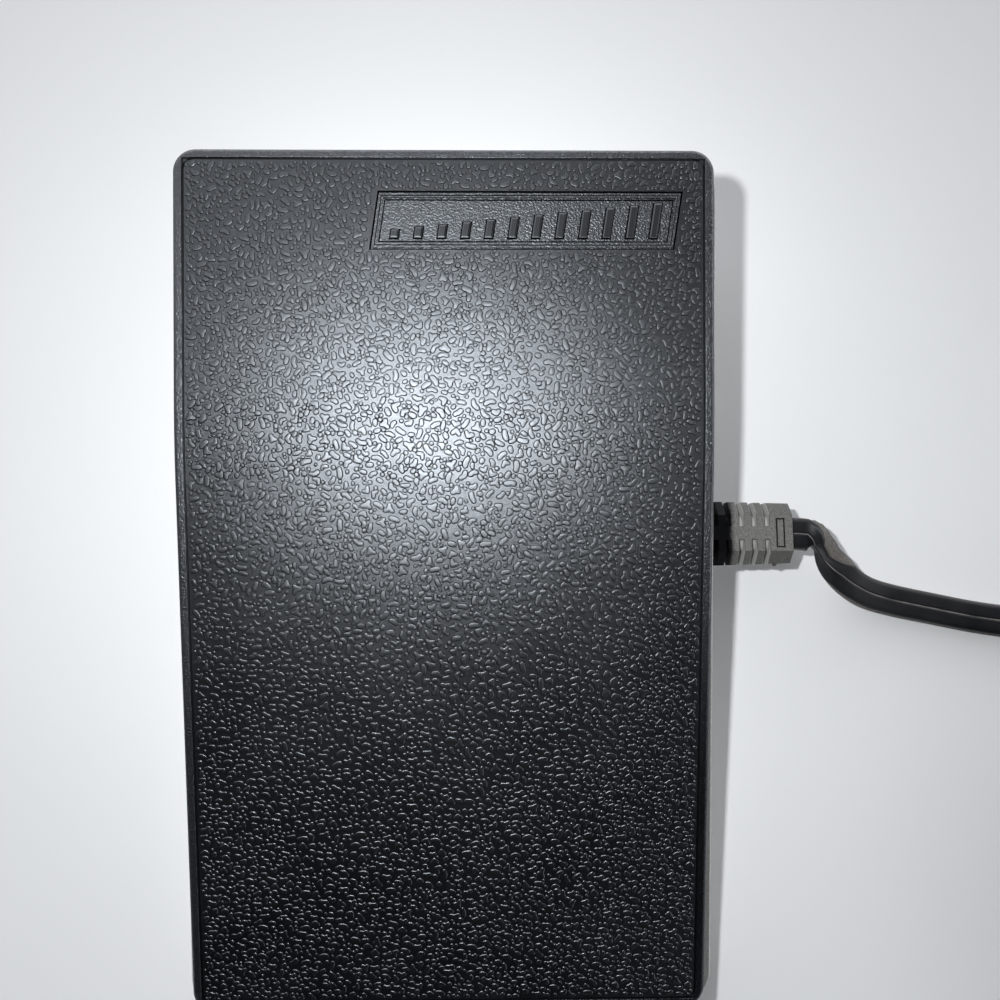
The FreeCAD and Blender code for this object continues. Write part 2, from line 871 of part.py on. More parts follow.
def make_rack_sector():
    pitch_radius = gear_module * sector_teeth / 2
    pitch = 2 * math.pi / sector_teeth
    root = pitch_radius - pinion_addendum * gear_module - root_clearance * gear_module
    tip = pitch_radius + sector_addendum * gear_module
    middle = math.radians(mesh_angle)
    count = sector_lower_teeth + sector_upper_teeth
    first = middle - pitch * (sector_lower_teeth - 1)
    outline = gear_points(sector_teeth, count, first, root, tip)
    low_angle = outline[0][1] - pitch / 4
    high_angle = outline[-1][1] + pitch / 4
    outline = [(root, low_angle)] + outline + [(root, high_angle)]
    points = [vec(sector_x, hinge_y + r * math.cos(a), hinge_z + r * math.sin(a)) for r, a in outline]
    back_y = hinge_y + pitch_radius - sector_web_depth
    points.append(vec(sector_x, points[-1].y, flange_top))
    points.append(vec(sector_x, back_y, flange_top))
    points.append(vec(sector_x, back_y, points[0].z + sector_web_depth / 3))
    web = polygon_face(points).extrude(vec(sector_wall, 0, 0))
    front_y = points[-3].y
    flange = block(sector_x, sector_x + flange_width, front_y - flange_back, front_y,
                   flange_top - flange_wall, flange_top)
    solid = joined([web, flange])
    for boss_y in sector_screw_places():
        solid = solid.cut(post(sector_screw_x(), boss_y, 0, tall, screw_radius + screw_hole_gap))
    return solid


def make_sector_screws():
    seat = flange_top - flange_wall
    return Part.makeCompound(
        [screw(sector_screw_x(), y, seat, screw_length + flange_wall - pilot_spare, -1)
         for y in sector_screw_places()])


def make_pinion():
    y, z = pinion_centre()
    pitch_radius = gear_module * pinion_teeth / 2
    pitch = 2 * math.pi / pinion_teeth
    root = pitch_radius - sector_addendum * gear_module - root_clearance * gear_module
    tip = pitch_radius + pinion_addendum * gear_module
    facing = math.radians(mesh_angle) + math.pi + pitch / 2
    outline = gear_points(pinion_teeth, pinion_teeth, facing, root, tip)
    low_x = sector_x + sector_wall / 2 - pinion_wall / 2
    points = [vec(low_x, y + r * math.cos(a), z + r * math.sin(a)) for r, a in outline]
    gear = polygon_face(points).extrude(vec(pinion_wall, 0, 0))
    return gear.cut(bar_x(low_x - 1, low_x + pinion_wall + 1, y, z, shaft_radius + fit_gap / 2))


def make_pot_shaft():
    y, z = pinion_centre()
    low_x = sector_x + sector_wall / 2 - pinion_wall / 2 - shaft_end_out
    high_x = bracket_x + bracket_wall + pot_depth / 2
    shaft = bar_x(low_x, high_x, y, z, shaft_radius)
    half_slot = slot_width / 2
    slot = block(low_x - 1, low_x + shaft_slot_depth, y - half_slot, y + half_slot, z - tall, z + tall)
    return shaft.cut(slot)


def make_pot_body():
    y, z = pinion_centre()
    face = bracket_x + bracket_wall
    body = bar_x(face, face + pot_depth, y, z, pot_radius)
    back = [edge for edge in body.Edges if abs(edge.CenterOfMass.x - face - pot_depth) < 0.01]
    body = body.makeFillet(pot_round, back)
    bushing = bar_x(bracket_x - bushing_length, face, y, z, bushing_radius)
    skirt_low = z - pot_radius - pot_skirt_below
    half = pot_skirt_width / 2
    skirt = block(face, face + pot_skirt_depth, y - half, y + half, skirt_low, z)
    tags = []
    for index in (-1, 0, 1):
        tag_y = y + index * tag_pitch
        tags.append(block(face + tag_out, face + tag_out + tag_wall,
                          tag_y - tag_width / 2, tag_y + tag_width / 2,
                          skirt_low - tag_length, skirt_low + join_overlap))
    solid = joined([body, bushing, skirt] + tags)
    bore_end = face + pot_depth / 2 + shaft_end_gap
    bore = bar_x(bracket_x - bushing_length - 1, bore_end, y, z, shaft_radius + fit_gap)
    return solid.cut(bore)


def make_pot_nut():
    y, z = pinion_centre()
    corner = nut_flats / 2 / cos_deg(30)
    points = []
    for index in range(6):
        turn = 60 * index
        points.append(vec(bracket_x - nut_wall, y + corner * cos_deg(turn), z + corner * sin_deg(turn)))
    nut = polygon_face(points).extrude(vec(nut_wall, 0, 0))
    return nut.cut(bar_x(bracket_x - nut_wall - 1, bracket_x + 1, y, z, bushing_radius + fit_gap))


def make_pot_bracket():
    y, z = pinion_centre()
    low = floor_top + boss_height
    half = bracket_width / 2
    high = z + bracket_above
    plate = block(bracket_x, bracket_x + bracket_wall, y - half, y + half, low, high)
    corners = [edge for edge in plate.Edges if abs(edge.CenterOfMass.z - high) < 0.01
               and abs(edge.Vertexes[0].X - edge.Vertexes[1].X) > 1]
    plate = plate.makeFillet(bracket_round, corners)
    foot = block(bracket_x, bracket_x + bracket_foot, y - half, y + half, low, low + bracket_wall)
    solid = joined([plate, foot])
    hole_radius = bushing_radius + bushing_hole_gap
    solid = solid.cut(bar_x(bracket_x - 1, bracket_x + bracket_wall + 1, y, z, hole_radius))
    window_x = bracket_x + bracket_wall + bracket_window_gap
    window_half = bracket_window / 2
    window_end = window_x + bracket_window_length
    window = block(window_x, window_end, y - window_half, y + window_half, low - 1, low + 3)
    solid = solid.cut(window)
    for hole_x, hole_y in bracket_screw_places():
        solid = solid.cut(post(hole_x, hole_y, 0, tall, screw_radius + screw_hole_gap))
    return solid


def make_bracket_screws():
    seat = floor_top + boss_height + bracket_wall
    length = screw_length - board_wall + bracket_wall
    return Part.makeCompound([screw(x, y, seat, length) for x, y in bracket_screw_places()])


def board_top():
    return floor_top + boss_height + board_wall


def make_circuit_board():
    low = floor_top + boss_height
    board = block(-board_width / 2, board_width / 2, board_y - board_depth / 2, board_y + board_depth / 2,
                  low, low + board_wall)
    for x, y in board_screw_places():
        board = board.cut(post(x, y, 0, tall, screw_radius + screw_hole_gap))
    return board


def make_board_screws():
    return Part.makeCompound([screw(x, y, board_top(), screw_length) for x, y in board_screw_places()])


# Place on the board's top, given from the board's middle
def on_board(place):
    return place[0], board_y + place[1], board_top()


def bar_y(x, y_low, y_high, z, radius):
    return Part.makeCylinder(radius, y_high - y_low, vec(x, y_low, z), vec(0, 1, 0))


def make_film_capacitor():
    x, y, z = on_board(film_place)
    half_x = film_length / 2
    half_y = film_width / 2
    body = block(x - half_x, x + half_x, y - half_y, y + half_y, z + film_lift, z + film_height)
    body = body.makeFillet(film_round, body.Edges)
    half = film_leg_width / 2
    feet = []
    for side in (-1, 1):
        foot_x = x + side * film_leg_pitch / 2
        feet.append(block(foot_x - half, foot_x + half, y - half, y + half, z, z + film_height / 2))
    return joined([body] + feet)


def make_disc_capacitor():
    x, y, z = on_board(disc_place)
    disc = bar_y(x, y - disc_wall / 2, y + disc_wall / 2, z + disc_middle_z, disc_radius)
    disc = disc.makeFillet(disc_round, disc.Edges)
    legs = [post(x + side * disc_leg_pitch / 2, y, z, z + disc_middle_z, leg_radius) for side in (-1, 1)]
    return joined([disc] + legs)


def make_choke_core():
    x, y, z = on_board(choke_place)
    low = post(x, y, z, z + choke_flange, choke_radius)
    neck = post(x, y, z, z + choke_height, choke_neck)
    high = post(x, y, z + choke_height - choke_flange, z + choke_height, choke_radius)
    return joined([low, neck, high])


def make_choke_winding():
    x, y, z = on_board(choke_place)
    low = z + choke_flange + fit_gap
    high = z + choke_height - choke_flange - fit_gap
    coil = post(x, y, low, high, choke_radius - choke_edge)
    return coil.cut(post(x, y, z, z + choke_height, choke_neck + fit_gap))


def make_heat_sink():
    x, y, z = on_board(sink_place)
    low_x = x - sink_width / 2
    high_x = x + sink_width / 2
    plate = block(low_x, high_x, y, y + sink_wall, z, z + sink_height)
    wing_left = block(low_x, low_x + sink_wall, y, y + sink_wing, z, z + sink_height)
    wing_right = block(high_x - sink_wall, high_x, y, y + sink_wing, z, z + sink_height)
    sink = joined([plate, wing_left, wing_right])
    return sink.cut(bar_y(x, y - 1, y + sink_wall + 1, z + sink_hole_z, triac_screw_radius + sink_hole_gap))


def make_triac():
    x, y, z = on_board(sink_place)
    half = triac_width / 2
    low = z + triac_low_z
    tab = block(x - half, x + half, y - triac_tab, y - fit_gap, low, z + sink_height)
    tab = tab.cut(bar_y(x, y - tall, y + 1, z + sink_hole_z, triac_screw_radius + triac_hole_gap))
    body = block(x - half, x + half, y - triac_tab - triac_body, y - triac_tab, low, z + triac_body_top)
    legs = []
    for index in (-1, 0, 1):
        leg_x = x + index * triac_leg_pitch
        legs.append(block(leg_x - triac_leg_width / 2, leg_x + triac_leg_width / 2,
                          y - triac_leg_out - triac_leg_wall / 2, y - triac_leg_out + triac_leg_wall / 2,
                          z, low + join_overlap))
    return joined([tab, body] + legs)


def make_triac_screw():
    x, y, z = on_board(sink_place)
    seat_y = y - triac_tab - fit_gap
    screw_z = z + sink_hole_z
    head = bar_y(x, seat_y - triac_screw_head, seat_y, screw_z, triac_screw_head_radius)
    shank = bar_y(x, seat_y, seat_y + triac_screw_length, screw_z, triac_screw_radius)
    slot_low = seat_y - triac_screw_head - 1
    slot = block(x - slot_width / 2, x + slot_width / 2, slot_low, slot_low + 1 + slot_depth, z, z + tall)
    return joined([head, shank]).cut(slot)


def make_triac_nut():
    x, y, z = on_board(sink_place)
    seat_y = y + sink_wall
    corner = triac_nut_flats / 2 / cos_deg(30)
    points = []
    for index in range(6):
        turn = 60 * index
        points.append(vec(x + corner * cos_deg(turn), seat_y, z + sink_hole_z + corner * sin_deg(turn)))
    nut = polygon_face(points).extrude(vec(0, triac_nut_wall, 0))
    bore_radius = triac_screw_radius + fit_gap / 2
    bore = bar_y(x, seat_y - 1, seat_y + triac_nut_wall + 1, z + sink_hole_z, bore_radius)
    return nut.cut(bore)


def make_resistors():
    parts = []
    for place in resistor_places:
        x, y, z = on_board(place)
        axis_z = z + resistor_z
        body = bar_y(x, y - resistor_length / 2, y + resistor_length / 2, axis_z, resistor_radius)
        body = body.makeFillet(resistor_round, [edge for edge in body.Edges if len(edge.Vertexes) == 1])
        reach = resistor_span / 2
        lead_points = [(y - reach, z), (y - reach, axis_z), (y + reach, axis_z), (y + reach, z)]
        path, radii = arc_route([vec(x, *point) for point in lead_points])
        lead = swept_tube(path, leg_radius)
        parts.append(joined([body, lead]))
    return Part.makeCompound(parts)


def make_trimmer():
    x, y, z = on_board(trimmer_place)
    half = trimmer_width / 2
    body = block(x - half, x + half, y - half, y + half, z, z + trimmer_height)
    top = z + trimmer_height + trimmer_dial
    dial = post(x, y, z + trimmer_height, top, trimmer_dial_radius)
    slot_half = trimmer_slot_width / 2
    slot = block(x - trimmer_slot_length / 2, x + trimmer_slot_length / 2, y - slot_half, y + slot_half,
                 top - trimmer_slot_width, top + 1)
    return joined([body, dial]).cut(slot)


def make_fuse():
    x, y, z = on_board(fuse_place)
    return bar_x(x - fuse_length / 2, x + fuse_length / 2, y, z + fuse_z, fuse_radius)


def make_fuse_clips():
    x, y, z = on_board(fuse_place)
    axis_z = z + fuse_z
    clips = []
    for side in (-1, 1):
        middle = x + side * (fuse_length / 2 - fuse_clip_inset - fuse_clip_width / 2)
        low_x = middle - fuse_clip_width / 2
        high_x = middle + fuse_clip_width / 2
        ring = bar_x(low_x, high_x, y, axis_z, fuse_radius + fuse_clip_wall)
        ring = ring.cut(bar_x(low_x - 1, high_x + 1, y, axis_z, fuse_radius + fit_gap))
        mouth_half = fuse_clip_mouth / 2
        mouth = block(low_x - 1, high_x + 1, y - mouth_half, y + mouth_half, axis_z, tall)
        leg_x = fuse_clip_leg_length / 2
        leg_y = fuse_clip_leg_width / 2
        leg_top = axis_z - fuse_radius - join_overlap
        leg = block(middle - leg_x, middle + leg_x, y - leg_y, y + leg_y, z, leg_top)
        clips.append(joined([ring.cut(mouth), leg]))
    return Part.makeCompound(clips)


def terminal_rows():
    return [board_y + terminal_place[1] + side * terminal_pitch / 2 for side in (-1, 1)]


def make_terminal_block():
    x, y, z = on_board(terminal_place)
    half_x = terminal_width / 2
    half_y = terminal_length / 2
    body = block(x - half_x, x + half_x, y - half_y, y + half_y, z, z + terminal_height)
    top_edges = [edge for edge in body.Edges if abs(edge.CenterOfMass.z - z - terminal_height) < 0.01]
    body = body.makeFillet(terminal_round, top_edges)
    cuts = []
    for row_y in terminal_rows():
        cuts.append(bar_x(x - 1, x + half_x + 1, row_y, z + terminal_wire_z, terminal_wire_hole))
        cuts.append(post(x, row_y, z + terminal_wire_z, z + tall, terminal_screw_radius + fit_gap))
    return body.cut(cuts)


def make_terminal_screws():
    x, y, z = on_board(terminal_place)
    half = terminal_slot_width / 2
    parts = []
    for row_y in terminal_rows():
        body = post(x, row_y, z + terminal_screw_low, z + terminal_screw_top, terminal_screw_radius)
        slot_low = z + terminal_screw_top - terminal_slot_depth
        parts.append(body.cut(block(x - tall, x + tall, row_y - half, row_y + half, slot_low, z + tall)))
    return Part.makeCompound(parts)


# Tube along straight runs joined by tangent arcs
def arc_route(points):
    edges = []
    radii = []
    start = points[0]
    for index in range(1, len(points) - 1):
        here = points[index]
        back = points[index - 1] - here
        ahead = points[index + 1] - here
        turn = math.pi - back.getAngle(ahead)
        shorter = min(back.Length, ahead.Length)
        reach = 0.45 * shorter
        radius = reach / math.tan(turn / 2)
        radii.append(radius)
        first = here + back.normalize() * reach
        last = here + ahead.normalize() * reach
        inward = (first + last) * 0.5 - here
        inward.normalize()
        middle = here + inward * (radius / math.cos(turn / 2) - radius)
        edges.append(Part.LineSegment(start, first).toShape())
        edges.append(Part.Arc(first, middle, last).toShape())
        start = last
    edges.append(Part.LineSegment(start, points[-1]).toShape())
    return Part.Wire(edges), radii


def swept_tube(path, radius):
    start = path.OrderedVertexes[0].Point
    ahead = path.OrderedVertexes[1].Point - start
    circle = Part.Wire(Part.makeCircle(radius, start, ahead))
    return path.makePipeShell([circle], True, False)


def tube_along(points, radius, label):
    path, radii = arc_route([vec(*point) for point in points])
    tube = swept_tube(path, radius)
    expected = math.pi * radius * radius * path.Length
    print(label, "radii", [round(bend, 1) for bend in radii])
    print(label, "length", round(path.Length, 1), "volume", round(tube.Volume, 1), "of", round(expected, 1))
    return tube


# Two leads from the cord's end to the terminal block, their bends spread by hand
def make_lead_wires():
    terminal_x, terminal_y, board_z = on_board(terminal_place)
    wire_z = board_z + terminal_wire_z
    wires = []
    for side, row_y in zip((-1, 1), terminal_rows()):
        y_out = relief_y + side * cord_thickness / 2
        x_out = cord_inner_x - side * 2.5
        points = [
            (cord_inner_x, y_out, relief_z),
            (cord_inner_x - 6.0, y_out, relief_z),
            (x_out - 3.5, relief_y - 14.0, relief_z + 3.2),
            (x_out - 1.0, relief_y - 30.0, relief_z + 3.0),
            (x_out - 1.5, row_y + 9.0 - side, wire_z + 2.4),
            (terminal_x + 10.0, row_y + 0.6, wire_z + 0.2),
            (terminal_x + 1.0, row_y, wire_z),
        ]
        wires.append(tube_along(points, lead_radius, "lead"))
    return Part.makeCompound(wires)


def make_strain_relief():
    start_x = base_half_width - base_wall - relief_inner_gap
    wide = relief_section(start_x, relief_wide, 0)
    narrow = relief_section(relief_end_x, relief_narrow, 0)
    body = Part.makeLoft([wide, narrow], True, True)
    flange_wire = relief_section(start_x - relief_flange, relief_wide, relief_flange_rise)
    flange = Part.Face(flange_wire).extrude(vec(relief_flange, 0, 0))
    slots = []
    out = relief_wide
    for index in range(relief_slots):
        high_x = relief_end_x - relief_last_slot + relief_slot_width / 2 - relief_slot_pitch * index
        low_x = high_x - relief_slot_width
        if low_x > base_half_width + relief_slot_margin:
            slots.append(block(low_x, high_x, relief_y + relief_spine / 2, relief_y + out, 0, tall))
            slots.append(block(low_x, high_x, relief_y - out, relief_y - relief_spine / 2, 0, tall))
    body = body.cut(slots)
    sleeve = cord_bar(start_x, relief_end_x, relief_sleeve_wall)
    mark_high_x = relief_end_x - frame_mark_inset
    mark_low_x = mark_high_x - frame_mark_length
    top = relief_z + relief_height / 2
    half = frame_mark_width / 2
    mark = block(mark_low_x, mark_high_x, relief_y - half, relief_y + half, top - frame_mark_depth, top + 1)
    mark = mark.cut(block(mark_low_x + frame_mark_line, mark_high_x - frame_mark_line,
                          relief_y - half + frame_mark_line, relief_y + half - frame_mark_line, 0, tall))
    nub_y = relief_y - relief_narrow / 2 - relief_nub_out
    nub = Part.makeSphere(relief_nub_radius, vec(relief_end_x - relief_nub_back, nub_y, relief_z))
    solid = joined([body, flange, sleeve, nub])
    bore = cord_bar(start_x - relief_flange - 1, relief_end_x + 1, cord_gap)
    return solid.cut([mark, bore])


def make_cord_core():
    core = cord_bar(cord_inner_x, relief_end_x, 0)
    half = cord_groove
    grooves = []
    for side in (-1, 1):
        ridge = relief_z + side * cord_thickness / 2
        points = [
            vec(cord_inner_x - 1, relief_y - half, ridge + side * 0.01),
            vec(cord_inner_x - 1, relief_y + half, ridge + side * 0.01),
            vec(cord_inner_x - 1, relief_y, ridge - side * half),
        ]
        grooves.append(polygon_face(points).extrude(vec(relief_end_x - cord_inner_x + 2, 0, 0)))
    return core.cut(grooves)


def make_cord_clamp():
    low = clamp_seat_z()
    half_y = clamp_boss_out + boss_radius
    bar = block(clamp_x - clamp_width / 2, clamp_x + clamp_width / 2, relief_y - half_y, relief_y + half_y,
                low, low + clamp_wall)
    corners = [edge for edge in bar.Edges if abs(edge.Vertexes[0].Z - edge.Vertexes[1].Z) > 1]
    bar = bar.makeFillet(clamp_round, corners)
    for x, y in clamp_screw_places():
        bar = bar.cut(post(x, y, 0, tall, screw_radius + screw_hole_gap))
    return bar


def make_clamp_screws():
    seat = clamp_seat_z() + clamp_wall
    length = screw_length + clamp_wall - pilot_spare
    return Part.makeCompound([screw(x, y, seat, length) for x, y in clamp_screw_places()])


# Coil: a flat spiral inwards, a tilted half turn up, and a flat spiral outwards
def coil_radii():
    step = coil_pitch / 2
    inward = [coil_outer_radius - step * index for index in range(coil_half_turns_in)]
    climb = coil_outer_radius - step * coil_half_turns_in
    outward = [climb + step * (index + 1) for index in range(coil_half_turns_out)]
    return inward, climb, outward


def coil_lean():
    inward, climb, outward = coil_radii()
    return math.atan(coil_layer_rise / (2 * climb))


def coil_low_z():
    lean = coil_lean()
    flat = (cord_width - cord_thickness) / 2
    return flat * math.cos(lean) + cord_thickness / 2 + tie_wall + tie_gap


def coil_path():
    inward, climb, outward = coil_radii()
    here = vec(coil_x, coil_top_y, coil_low_z())
    edges = [Part.LineSegment(here - vec(cord_width, 0, 0), here).toShape()]
    down = True
    for radius, rise in [(r, 0) for r in inward] + [(climb, coil_layer_rise)] + [(r, 0) for r in outward]:
        across = -2 * radius if down else 2 * radius
        end = here + vec(0, across, rise)
        bulge = math.sqrt(radius * radius + rise * rise / 4)
        middle = (here + end) * 0.5 + vec(bulge if down else -bulge, 0, 0)
        edges.append(Part.Arc(here, middle, end).toShape())
        here = end
        down = not down
    end = here + vec(cord_width, 0, 0)
    edges.append(Part.LineSegment(here, end).toShape())
    return Part.Wire(edges), end


def least_coil_gap(path):
    spacing = 3.0
    skipped = round(math.pi * coil_outer_radius / 3 / spacing)
    points = path.discretize(Distance=spacing)
    gaps = []
    for index, point in enumerate(points):
        for other in points[index + skipped:]:
            across = math.hypot(point.x - other.x, point.y - other.y)
            apart = abs(point.z - other.z)
            if apart < cord_width / 2:
                gaps.append(across - cord_thickness / math.cos(coil_lean()))
            elif across < cord_thickness:
                gaps.append(apart - cord_width)
    return min(gaps)


def make_cord_coil():
    path, end = coil_path()
    start = vec(coil_x - cord_width, coil_top_y, coil_low_z())
    section = cord_section(start.x, start.y, start.z, cord_width, cord_thickness)
    section.rotate(start, vec(1, 0, 0), 90 - math.degrees(coil_lean()))
    coil = path.makePipeShell([section], True, False)
    area = Part.Face(section).Area
    print("coil length", round(path.Length, 1), "least gap", round(least_coil_gap(path), 2))
    print("coil volume", round(coil.Volume, 1), "of", round(area * path.Length, 1))
    return coil


def full_run():
    end_x = coil_x - cord_width
    z = coil_low_z()
    return run_points + [(end_x - straight_end, coil_top_y, z), (end_x, coil_top_y, z)]


def full_tail():
    path, end = coil_path()
    leave = [(end.x, end.y, end.z), (end.x + straight_end, end.y, end.z)]
    neck_y = plug_end_y + plug_neck_length
    z = plug_height / 2
    return leave + tail_points + [(plug_end_x, neck_y + straight_end, z), (plug_end_x, neck_y, z)]


def make_cord_tie():
    inward, climb, outward = coil_radii()
    lean_reach = cord_thickness / 2 + (cord_width - cord_thickness) / 2 * math.sin(coil_lean())
    in_x = coil_x + climb - lean_reach - tie_gap
    out_x = coil_x + coil_outer_radius + lean_reach + tie_gap
    high = 2 * (coil_low_z() - tie_wall) + coil_layer_rise + tie_wall
    middle_y = coil_top_y - coil_outer_radius
    low_y = middle_y - tie_width / 2
    high_y = middle_y + tie_width / 2

    def sleeve(extra, corner):
        solid = block(in_x - extra, out_x + extra, low_y - extra, high_y + extra,
                      tie_wall - extra, high + extra)
        along = [edge for edge in solid.Edges if abs(edge.Vertexes[0].Y - edge.Vertexes[1].Y) > 1]
        return solid.makeFillet(corner, along)

    band = sleeve(tie_wall, tie_corner + tie_wall)
    band = band.common(block(in_x - tall, out_x + tall, low_y, high_y, 0, tall))
    return band.cut(sleeve(0, tie_corner))


def make_plug_body():
    x = plug_end_x
    y = plug_end_y
    body = block(x - plug_width / 2, x + plug_width / 2, y - plug_length, y, 0, plug_height)
    along = [edge for edge in body.Edges if abs(edge.Vertexes[0].Y - edge.Vertexes[1].Y) > 1]
    body = body.makeFillet(plug_round, along)
    neck = Part.makeCone(plug_neck_radius + plug_neck_flare, plug_neck_radius, plug_neck_length,
                         vec(x, y, plug_height / 2), vec(0, 1, 0))
    solid = joined([body, neck])
    for side in (-1, 1):
        pin_x = x + side * pin_pitch / 2
        face_y = y - plug_length
        root_bore = pin_root_radius + fit_gap / 2
        solid = solid.cut(bar_y(pin_x, face_y, face_y + pin_sink, plug_height / 2, root_bore))
    return solid


def make_plug_pins():
    pins = []
    for side in (-1, 1):
        x = plug_end_x + side * pin_pitch / 2
        face_y = plug_end_y - plug_length
        pin = bar_y(x, face_y - pin_length, face_y, plug_height / 2, pin_radius)
        tip = [edge for edge in pin.Edges if abs(edge.CenterOfMass.y - face_y + pin_length) < 0.01]
        pin = pin.makeFillet(pin_round, tip[:1])
        root = bar_y(x, face_y, face_y + pin_sink - fit_gap, plug_height / 2, pin_root_radius)
        pins.append(joined([pin, root]))
    return Part.makeCompound(pins)


def make_all():
    return {
        "base_shell": make_base_shell(),
        "rubber_feet": make_rubber_feet(),
        "hinge_rod": make_hinge_rod(),
        "hinge_clips": make_hinge_clips(),
        "return_spring_left": make_return_spring(-1),
        "return_spring_right": make_return_spring(1),
        "buffer_pads": make_buffer_pads(),
        "circuit_board": make_circuit_board(),
        "board_screws": make_board_screws(),
        "film_capacitor": make_film_capacitor(),
        "disc_capacitor": make_disc_capacitor(),
        "choke_core": make_choke_core(),
        "choke_winding": make_choke_winding(),
        "heat_sink": make_heat_sink(),
        "triac": make_triac(),
        "triac_screw": make_triac_screw(),
        "triac_nut": make_triac_nut(),
        "resistors": make_resistors(),
        "trimmer": make_trimmer(),
        "fuse": make_fuse(),
        "fuse_clips": make_fuse_clips(),
        "terminal_block": make_terminal_block(),
        "terminal_screws": make_terminal_screws(),
        "lead_wires": make_lead_wires(),
        "pot_body": make_pot_body(),
        "pot_nut": make_pot_nut(),
        "pot_bracket": make_pot_bracket(),
        "bracket_screws": make_bracket_screws(),
        "cord_clamp": make_cord_clamp(),
        "clamp_screws": make_clamp_screws(),
        "treadle_shell": make_treadle_shell(),
        "rack_sector": make_rack_sector(),
        "sector_screws": make_sector_screws(),
        "pot_shaft": make_pot_shaft(),
        "pinion": make_pinion(),
        "strain_relief": make_strain_relief(),
        "cord_core": make_cord_core(),
        "cord_run": tube_along(full_run(), tube_diameter / 2, "run"),
        "cord_coil": make_cord_coil(),
        "cord_tie": make_cord_tie(),
        "cord_tail": tube_along(full_tail(), tube_diameter / 2, "tail"),
        "plug_body": make_plug_body(),
        "plug_pins": make_plug_pins(),
    }


os.makedirs("parts", exist_ok=True)
for node, shape in make_all().items():
    solids = shape.Solids
    if not shape.isValid() or not solids:
        print("CHECK", node, "valid", shape.isValid(), "solids", len(solids))
    if shape.ShapeType == "Compound" and len(solids) == 1:
        shape = solids[0]
    shape.exportStep("parts/" + node + ".step")
    box = shape.BoundBox
    print(node, len(solids), "volume", round(shape.Volume, 1),
          "box", [round(v, 1) for v in (box.XMin, box.YMin, box.ZMin, box.XMax, box.YMax, box.ZMax)])
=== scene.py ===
import math
import random

import bmesh
import bpy
import numpy as np
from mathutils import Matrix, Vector


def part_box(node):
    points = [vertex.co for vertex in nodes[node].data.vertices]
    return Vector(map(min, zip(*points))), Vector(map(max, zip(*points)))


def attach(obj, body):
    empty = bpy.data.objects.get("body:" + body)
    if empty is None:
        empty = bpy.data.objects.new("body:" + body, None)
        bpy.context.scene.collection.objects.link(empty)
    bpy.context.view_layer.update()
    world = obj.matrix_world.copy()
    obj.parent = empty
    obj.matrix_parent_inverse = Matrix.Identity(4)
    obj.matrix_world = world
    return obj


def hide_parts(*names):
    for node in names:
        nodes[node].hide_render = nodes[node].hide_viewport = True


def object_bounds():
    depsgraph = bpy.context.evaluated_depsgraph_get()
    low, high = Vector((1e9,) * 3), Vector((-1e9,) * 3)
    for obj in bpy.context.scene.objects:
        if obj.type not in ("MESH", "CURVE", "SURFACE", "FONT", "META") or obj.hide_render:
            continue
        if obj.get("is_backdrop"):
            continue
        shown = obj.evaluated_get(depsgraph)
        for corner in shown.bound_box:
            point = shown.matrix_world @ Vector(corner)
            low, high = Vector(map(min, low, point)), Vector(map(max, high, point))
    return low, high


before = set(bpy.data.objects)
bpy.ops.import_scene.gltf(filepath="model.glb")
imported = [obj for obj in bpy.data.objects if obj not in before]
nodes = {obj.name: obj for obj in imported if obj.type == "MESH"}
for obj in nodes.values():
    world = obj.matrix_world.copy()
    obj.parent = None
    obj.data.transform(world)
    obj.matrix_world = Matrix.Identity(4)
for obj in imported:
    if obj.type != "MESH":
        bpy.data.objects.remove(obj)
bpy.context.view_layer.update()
scene = bpy.context.scene
scene.view_settings.view_transform = "Standard"
mm = 0.001

# Camera
# The photograph was taken by hand from 19 cm above the pedal, almost straight down, with a wide lens.
camera_data = bpy.data.cameras.new("camera")
camera_data.sensor_width = 36
camera_data.lens = 27.15
camera_data.clip_start = 0.005
camera = bpy.data.objects.new("camera", camera_data)
scene.collection.objects.link(camera)
camera.rotation_mode = "ZYX"
camera.rotation_euler = [math.radians(turn) for turn in (5.804, -0.786, -0.186)]
camera.location = (0.00877, 0.00311, 0.19063)
scene.camera = camera


# Table and light
# A smooth pale table top in a lit room, and one small lamp beside the camera that throws the shadow on the
# right. The room is dark on the heel's side.
def add_node(tree, kind, settings=(), **inputs):
    made = tree.nodes.new("ShaderNode" + kind)
    for label, value in dict(settings).items():
        setattr(made, label, value)
    for label, value in inputs.items():
        socket = made.inputs[int(label[1:])] if label[1:].isdigit() else made.inputs[label.replace("_", " ")]
        if isinstance(value, bpy.types.NodeSocket):
            tree.links.new(value, socket)
        else:
            socket.default_value = value
    return made


def calc(tree, operation, first, second=0.0, third=0.0):
    return add_node(tree, "Math", {"operation": operation}, i0=first, i1=second, i2=third).outputs[0]


def remap(tree, value, low, high, to_low, to_high):
    made = add_node(
        tree, "MapRange", {"clamp": True}, Value=value, From_Min=low, From_Max=high, To_Min=to_low,
        To_Max=to_high)
    return made.outputs[0]


def between(tree, factor, first, second):
    made = tree.nodes.new("ShaderNodeValToRGB")
    made.color_ramp.elements[0].color = (*first, 1)
    made.color_ramp.elements[1].color = (*second, 1)
    tree.links.new(factor, made.inputs[0])
    return made.outputs[0]


def new_material(name, roughness=0.5, metallic=0.0, level=0.5, density=1.5):
    material = bpy.data.materials.new(name)
    material.use_nodes = True
    shader = material.node_tree.nodes["Principled BSDF"]
    shader.inputs["Roughness"].default_value = roughness
    shader.inputs["Metallic"].default_value = metallic
    shader.inputs["Specular IOR Level"].default_value = level
    shader.inputs["IOR"].default_value = density
    return material, material.node_tree, shader


